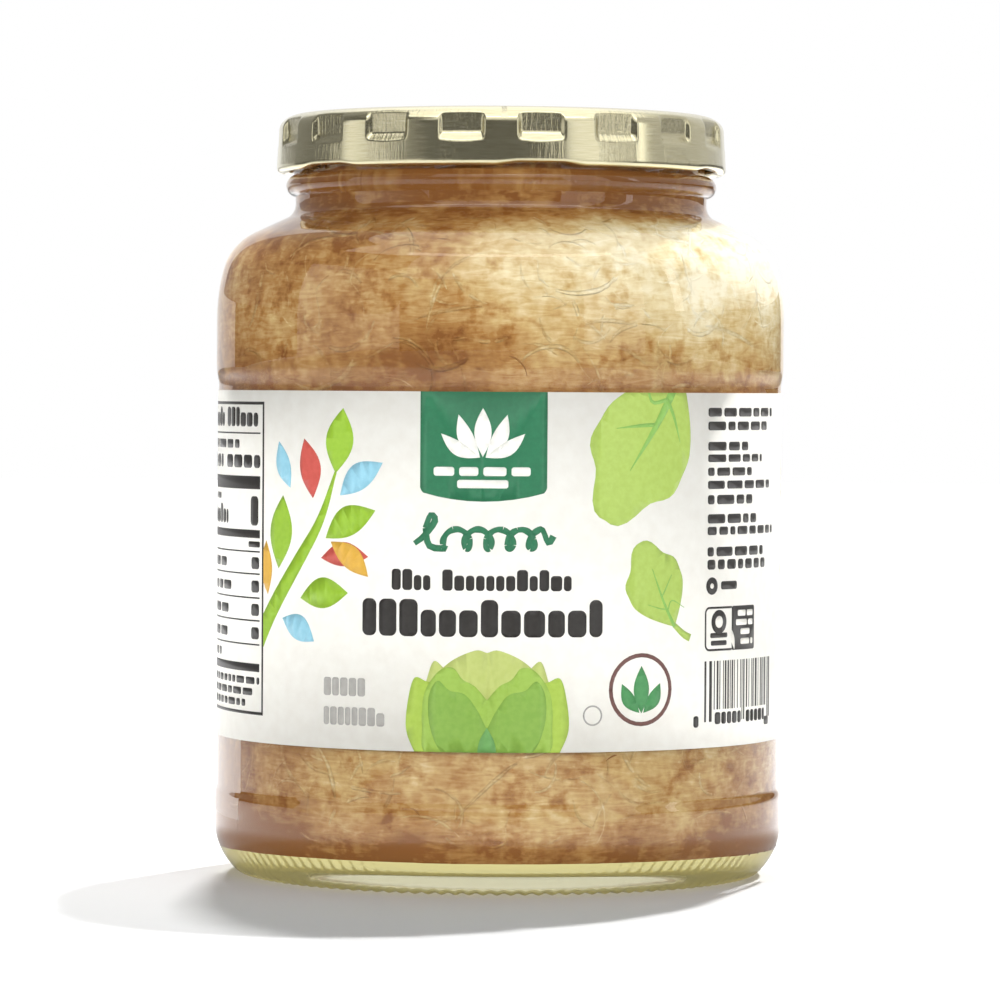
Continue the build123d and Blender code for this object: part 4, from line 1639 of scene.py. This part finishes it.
def shred_collection(name, count, seed, lengths, widths, thickness, curls):
    """A few different shreds to pick from."""
    dice = random.Random(seed)
    group = bpy.data.collections.new(name)
    for number in range(count):
        curl = dice.uniform(*curls) * dice.choice((-1, 1))
        length = dice.uniform(*lengths)
        width = dice.uniform(*widths)
        group.objects.link(shred_shape(f"{name}.{number}", dice, length, width, thickness, curl))
    return group


def shreds_tree(sizes):
    """Lay shreds against the wall of the glass, turned at random, at random depths, bent to its curve."""
    tree, given = growing("shreds against the wall", sizes)
    wall = given["Geometry"]
    axes, turn, _, _ = round_the_axis(tree)
    bearing = node(tree, "ShaderNodeMath", {0: turn}, operation="DEGREES")
    # nothing is laid where the label hides it
    checks = [
        node(tree, "ShaderNodeMath", {0: axes["Z"], 1: given["Hidden low"]}, operation="GREATER_THAN"),
        node(tree, "ShaderNodeMath", {0: axes["Z"], 1: given["Hidden high"]}, operation="LESS_THAN"),
        node(tree, "ShaderNodeMath", {0: bearing, 1: given["Hidden left"]}, operation="GREATER_THAN"),
        node(tree, "ShaderNodeMath", {0: bearing, 1: given["Hidden right"]}, operation="LESS_THAN"),
    ]
    hidden = checks[0]
    for check in checks[1:]:
        hidden = node(tree, "ShaderNodeMath", {0: hidden, 1: check}, operation="MULTIPLY")
    seen = node(tree, "ShaderNodeMath", {0: 1.0, 1: hidden}, operation="SUBTRACT")
    points = node(
        tree,
        "GeometryNodeDistributePointsOnFaces",
        {"Mesh": wall, "Selection": seen, "Density": given["Density"], "Seed": given["Seed"]},
    )
    shapes = node(
        tree,
        "GeometryNodeCollectionInfo",
        {"Collection": given["Shapes"], "Separate Children": True, "Reset Children": True},
    )
    pick = node(
        tree, "FunctionNodeRandomValue", {"Min": 0, "Max": 99, "Seed": given["Seed"]}, data_type="INT"
    )
    spin = node(
        tree, "FunctionNodeRandomValue", {"Min": -pi, "Max": pi, "Seed": given["Seed"]}, data_type="FLOAT"
    )
    # shreds settle more level than upright
    level = node(tree, "ShaderNodeMath", {0: spin, 1: 2.0}, operation="MULTIPLY")
    bias = node(tree, "ShaderNodeMath", {0: level}, operation="SINE")
    biased = node(tree, "ShaderNodeMath", {0: bias, 1: given["Levelling"]}, operation="MULTIPLY")
    spun = node(tree, "ShaderNodeMath", {0: spin, 1: biased}, operation="SUBTRACT")
    about = node(tree, "ShaderNodeCombineXYZ", {"Z": spun})
    upright = node(
        tree, "FunctionNodeAlignRotationToVector", {"Vector": points.outputs["Normal"]}, axis="Z",
        pivot_axis="AUTO",
    )
    sideways = node(
        tree, "ShaderNodeVectorMath", {0: (0.0, 0.0, 1.0), 1: points.outputs["Normal"]},
        operation="CROSS_PRODUCT",
    )
    squared = node(
        tree, "FunctionNodeAlignRotationToVector", {"Rotation": upright, "Vector": sideways}, axis="X",
        pivot_axis="Z",
    )
    rotation = node(
        tree, "FunctionNodeRotateRotation", {"Rotation": squared, "Rotate By": about},
        rotation_space="LOCAL",
    )
    size = node(
        tree,
        "FunctionNodeRandomValue",
        {
            "Min": given["Smallest"], "Max": given["Largest"], "Seed": given["Seed"],
            "ID": node(tree, "GeometryNodeInputIndex"),
        },
        data_type="FLOAT",
    )
    laid = node(
        tree,
        "GeometryNodeInstanceOnPoints",
        {
            "Points": points, "Instance": shapes, "Pick Instance": True, "Instance Index": pick,
            "Rotation": rotation, "Scale": size,
        },
    )
    depth = node(
        tree,
        "FunctionNodeRandomValue",
        {"Min": given["Deepest"], "Max": given["Nearest"], "Seed": 11},
        data_type="FLOAT",
    )
    toned = node(tree, "FunctionNodeRandomValue", {"Seed": 12}, data_type="FLOAT")
    with_depth = node(
        tree, "GeometryNodeStoreNamedAttribute", {"Geometry": laid, "Name": "depth", "Value": depth},
        data_type="FLOAT", domain="INSTANCE",
    )
    with_tone = node(
        tree, "GeometryNodeStoreNamedAttribute", {"Geometry": with_depth, "Name": "tone", "Value": toned},
        data_type="FLOAT", domain="INSTANCE",
    )
    realized = node(tree, "GeometryNodeRealizeInstances", {"Geometry": with_tone})
    nearest = node(tree, "GeometryNodeProximity", {"Geometry": wall}, target_element="FACES")
    facing = node(tree, "GeometryNodeInputNormal")
    normal = node(
        tree, "GeometryNodeSampleNearestSurface", {"Mesh": wall, "Value": facing}, data_type="FLOAT_VECTOR"
    )
    depth_here = node(tree, "GeometryNodeInputNamedAttribute", {"Name": "depth"}, data_type="FLOAT")
    lift_here = node(tree, "GeometryNodeInputNamedAttribute", {"Name": "lift"}, data_type="FLOAT")
    stand = node(tree, "ShaderNodeMath", {0: depth_here, 1: lift_here}, operation="ADD")
    push = node(tree, "ShaderNodeVectorMath", {0: normal, "Scale": stand}, operation="SCALE")
    place = node(tree, "ShaderNodeVectorMath", {0: nearest, 1: push}, operation="ADD")
    moved = node(tree, "GeometryNodeSetPosition", {"Geometry": realized, "Position": place})
    finished = node(tree, "GeometryNodeSetMaterial", {"Geometry": moved, "Material": given["Material"]})
    node(tree, "NodeGroupOutput", {"Geometry": finished})
    return tree


def wall_surface():
    """The inner face of the glass as a surface to lay shreds on, up to just under the cap."""
    outline = [
        point for point in inside_outline(WALL, FILL_LEVEL, 8) if SHREDS_FOOT < point[1] < SHREDS_TOP
    ]
    return turned("wall", outline, [3.0 * number for number in range(120)])


def laid_shreds(name, shapes, surface, density, seed, depths, scale, levelling=0.25):
    """One kind of shred, scattered over all the glass that the label leaves clear."""
    sizes = {
        "Shapes": shapes, "Density": density, "Seed": seed, "Deepest": depths[0] * MM,
        "Nearest": depths[1] * MM, "Smallest": scale[0], "Largest": scale[1], "Levelling": levelling,
        "Hidden low": (LABEL_LOW + 3.0) * MM, "Hidden high": (LABEL_HIGH - 5.0) * MM,
        "Hidden left": LABEL_LEFT + 6.0, "Hidden right": LABEL_RIGHT - 6.0, "Material": surface,
    }
    tree = bpy.data.node_groups.get("shreds against the wall") or shreds_tree(sizes)
    made = grown(name, wall_surface(), tree, sizes)
    # translucent shreds darken nothing behind them
    unseen(made, "shadow", "diffuse")
    return made


# ---- studio ---------------------------------------------------------------------------------


def direction(azimuth, elevation):
    """Unit vector towards an azimuth counted from the front, as bearings are, and an elevation."""
    a, e = radians(azimuth), radians(elevation)
    return Vector((sin(a) * cos(e), -cos(a) * cos(e), sin(e)))


def lamp(name, azimuth, elevation, distance, width, height, light):
    """Rectangular soft light that faces the jar. Light 1 makes a white face turned to it shine like white."""
    data = bpy.data.lights.new(name, "AREA")
    data.shape = "RECTANGLE"
    data.size, data.size_y = width, height
    data.energy = light * pi**2 * distance**2
    made = placed(name, data)
    towards = direction(azimuth, elevation)
    made.location = Vector((0, 0, LIGHT_AIM)) + towards * distance
    made.rotation_euler = towards.to_track_quat("Z", "Y").to_euler()
    unseen(made, "camera", "transmission", "glossy")


def card(name, left, right, low, high, brightness, fall_off, corner=0.01, distance=1.6):
    """Curved card round the set that only reflections see: a bright one is a soft box, a dark one is a flag.

    Its brightness changes evenly from its left edge to its right edge, where it has changed by the fall-off.
    """
    mesh = bent_card(name, rounded(left, low, right, high, corner), left, right, distance)
    made = placed(name, mesh)
    surface, tree = material(name)
    part = node(tree, "ShaderNodeAttribute", attribute_name="across")
    strength = node(
        tree,
        "ShaderNodeMapRange",
        {"Value": part.outputs["Fac"], "To Min": brightness, "To Max": brightness + fall_off},
    )
    glow = node(tree, "ShaderNodeEmission", {"Color": (1, 1, 1, 1), "Strength": strength})
    mesh.materials.append(surfaced(surface, glow))
    unseen(made, "camera", "diffuse", "transmission", "shadow")


def bent_card(name, outline, left, right, distance):
    """Card mesh: its outline drawn in degrees, creased every few degrees and bent round the set."""
    cell = bmesh.new()
    face = cell.faces.new([cell.verts.new((azimuth, elevation, 0)) for azimuth, elevation in outline])
    bmesh.ops.triangulate(cell, faces=[face])
    for crease in range(ceil(left / 5), floor(right / 5) + 1):
        bmesh.ops.bisect_plane(
            cell, geom=cell.verts[:] + cell.edges[:] + cell.faces[:], plane_co=(crease * 5, 0, 0),
            plane_no=(1, 0, 0),
        )
    across = []
    for vert in cell.verts:
        across.append((vert.co.x - left) / (right - left))
        level = direction(vert.co.x, 0) * distance
        vert.co = (level.x, level.y, CARD_LEVEL + distance * tan(radians(vert.co.y)))
    mesh = bpy.data.meshes.new(name)
    cell.to_mesh(mesh)
    cell.free()
    mesh.attributes.new("across", "FLOAT", "POINT").data.foreach_set("value", across)
    return mesh


def eye_and_glass(tree):
    """Light Path, and a value of 1 for the rays of the eye, of reflections and of glass."""
    path = node(tree, "ShaderNodeLightPath").outputs
    seen = node(
        tree, "ShaderNodeMath", {0: path["Is Camera Ray"], 1: path["Is Glossy Ray"]}, operation="MAXIMUM"
    )
    return path, node(
        tree, "ShaderNodeMath", {0: seen, 1: path["Is Transmission Ray"]}, operation="MAXIMUM"
    )


def studio_floor():
    """Matt white table that fades into the background and keeps the jar's soft shadow."""
    mesh = bpy.data.meshes.new("floor")
    corners_of_table = [
        (x * TABLE_REACH, y * TABLE_REACH, 0) for x, y in ((-1, -1), (1, -1), (1, 1), (-1, 1))
    ]
    mesh.from_pydata(corners_of_table, [], [(0, 1, 2, 3)])
    made = placed("floor", mesh)
    surface, tree = material("matt_white_table")
    path, clear = eye_and_glass(tree)
    # the glass mirrors the lit table less strongly than the eye sees it
    paint = node(
        tree, "ShaderNodeMapRange", {"Value": path["Is Glossy Ray"], "To Min": TABLE_GREY, "To Max": 0.25}
    )
    diffuse = node(tree, "ShaderNodeBsdfDiffuse", {"Color": paint})
    # the glass base gathers light from all round, so the table seen through it stays fairly bright
    gathered = node(
        tree, "ShaderNodeMapRange", {"Value": path["Is Transmission Ray"], "To Min": 0.03, "To Max": 0.85}
    )
    top_up = node(tree, "ShaderNodeMath", {0: clear, 1: gathered}, operation="MULTIPLY")
    glow = node(tree, "ShaderNodeEmission", {"Color": (1, 1, 1, 1), "Strength": top_up})
    both = node(tree, "ShaderNodeAddShader", {0: diffuse, 1: glow})
    place = node(tree, "ShaderNodeTexCoord").outputs
    away = node(tree, "ShaderNodeVectorMath", {0: place["Object"]}, operation="LENGTH")
    # reflections find the end of the table sooner than the eye does
    sooner = node(
        tree, "ShaderNodeMapRange", {"Value": path["Is Glossy Ray"], "To Min": 1.0, "To Max": 2.4}
    )
    reach_out = node(tree, "ShaderNodeMath", {0: away, 1: sooner}, operation="MULTIPLY")
    fade = node(
        tree,
        "ShaderNodeMapRange",
        {"Value": reach_out, "From Min": FADE_START, "From Max": FADE_END},
        interpolation_type="SMOOTHSTEP",
    )
    in_mirror = node(
        tree, "ShaderNodeMapRange", {"Value": path["Is Glossy Ray"], "To Min": 1.0, "To Max": 0.12}
    )
    far_light = node(tree, "ShaderNodeMath", {0: clear, 1: in_mirror}, operation="MULTIPLY")
    white = node(tree, "ShaderNodeEmission", {"Color": (1, 1, 1, 1), "Strength": far_light})
    far_paint = node(tree, "ShaderNodeBsdfDiffuse", {"Color": (TABLE_GREY, TABLE_GREY, TABLE_GREY, 1)})
    far = node(tree, "ShaderNodeAddShader", {0: white, 1: far_paint})
    table = node(tree, "ShaderNodeMixShader", {0: fade, 1: both, 2: far})
    mesh.materials.append(surfaced(surface, table))


def surroundings():
    """White surroundings for the eye, reflections and glass; an even dimmer light for the object."""
    world = bpy.data.worlds.new("studio")
    bpy.context.scene.world = world
    world.use_nodes = True
    tree = world.node_tree
    tree.nodes.clear()
    path, clear = eye_and_glass(tree)
    # a large overhead light, brighter than white, for the lid's shoulder and the glass crown to mirror
    place = node(tree, "ShaderNodeTexCoord").outputs
    axes = node(tree, "ShaderNodeSeparateXYZ", {"Vector": place["Generated"]}).outputs
    overhead = node(
        tree,
        "ShaderNodeMapRange",
        {"Value": axes["Z"], "From Min": 0.45, "From Max": 0.7, "To Min": 1.0, "To Max": 1.6},
    )
    mirrored_light = node(
        tree, "ShaderNodeMapRange", {"Value": path["Is Glossy Ray"], "To Min": 1.0, "To Max": overhead}
    )
    strength = node(
        tree, "ShaderNodeMapRange", {"Value": clear, "To Min": ROOM_LIGHT, "To Max": mirrored_light}
    )
    back = node(tree, "ShaderNodeBackground", {"Color": (1, 1, 1, 1), "Strength": strength})
    node(tree, "ShaderNodeOutputWorld", {"Surface": back})
    world.cycles.sampling_method = "NONE"


def studio_camera():
    """Long lens a metre in front of the jar, at the height of the label, looking slightly down."""
    data = bpy.data.cameras.new("camera")
    data.sensor_width = 36.0
    data.lens = 183.8
    made = placed("camera", data)
    made.location = (0, -0.9671, 0.09164)
    made.rotation_euler = (pi / 2 - 0.022, radians(-0.35), 0)
    bpy.context.scene.camera = made


# ---- assembly -------------------------------------------------------------------------------

glass = flint_glass()
tinplate = gold_tinplate()
paper = coated_paper()

jar_glass = glass_jar(glass)
cap_piece = cap(tinplate)
label_half = radians(LABEL_RIGHT - LABEL_LEFT) / 2 * PAPER_RADIUS
label_middle = radians(LABEL_RIGHT + LABEL_LEFT) / 2 * PAPER_RADIUS
label_sheet = wrapped(
    "label_paper",
    [rounded(label_middle - label_half, LABEL_LOW, label_middle + label_half, LABEL_HIGH, LABEL_CORNER)],
    0,
    PAPER,
    paper,
)
core = packed_core(cabbage("packed_cabbage", -0.02, 0.05, 500.0), painted_base_light())
fine_shapes = shred_collection("fine_shred", 14, 3, (5, 13), (0.3, 0.8), 0.02, (0.2, 2.2))
fine_surface = cabbage("cabbage_shreds", 0.05, 0.07, 900.0)
fine = laid_shreds("fine_shreds", fine_shapes, fine_surface, 30000.0, 5, (0.21, 0.27), (0.7, 1.3))
brown_shapes = shred_collection("brown_shred", 5, 14, (3, 8), (0.25, 0.55), 0.08, (0.2, 1.2))
browned = laid_shreds("browned_strands", brown_shapes, browned_strand(), 700.0, 9, (0.3, 0.36), (0.6, 1.2))
dots = heel_dots(moulded_dot())

prints = print_label()
for made in (jar_glass, cap_piece, label_sheet, core, fine, browned, dots, *prints):
    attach(made, BODY)
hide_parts("jar")
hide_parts("lid")
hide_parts("label")
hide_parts("sauerkraut")

studio_floor()
surroundings()
studio_camera()
lamp("key", 157, 62.5, 1.1, 0.035, 0.035, 1.25)
lamp("second_key", 184, 56, 1.1, 0.1, 0.1, 1.02)
lamp("left_fill", -50, 7, 1.5, 0.8, 0.3, 0.49)
lamp("right_fill", 42, 7, 1.5, 0.8, 0.3, 0.47)
card("left_box", -88, -40, 3, 26, 1.35, -1.25, corner=7)
card("left_box_top", -88, -40, 26, 46, 0.14, 0.0)
card("right_box", 33, 59, 3, 24, 1.25, 0.0, corner=5)
card("strip", 73, 77.5, 3, 25, 2.6, 0.0)
card("front_flag", -40, 33, -1, 22, 0.14, 0.0)
card("right_flag", 59, 158, -1, 4.5, 0.1, 0.0)
card("right_panel", 77.5, 158, 4.5, 50, 0.6, 0.2)
card("right_gap", 59, 73, 4.5, 50, 0.17, 0.3)
card("glare", -168, -112, -29.3, -21.0, 0.8, 1.9, distance=0.16)
card("overhead_strip", -50, 62, 47, 52, 4.0, 0.0, corner=2)
card("left_flag_low", -134, -88, -1, 4.5, 0.12, 0.0)
card("left_flag", -154, -88, 4.5, 60, 0.4, -0.26)

bpy.context.scene.view_settings.view_transform = "Standard"
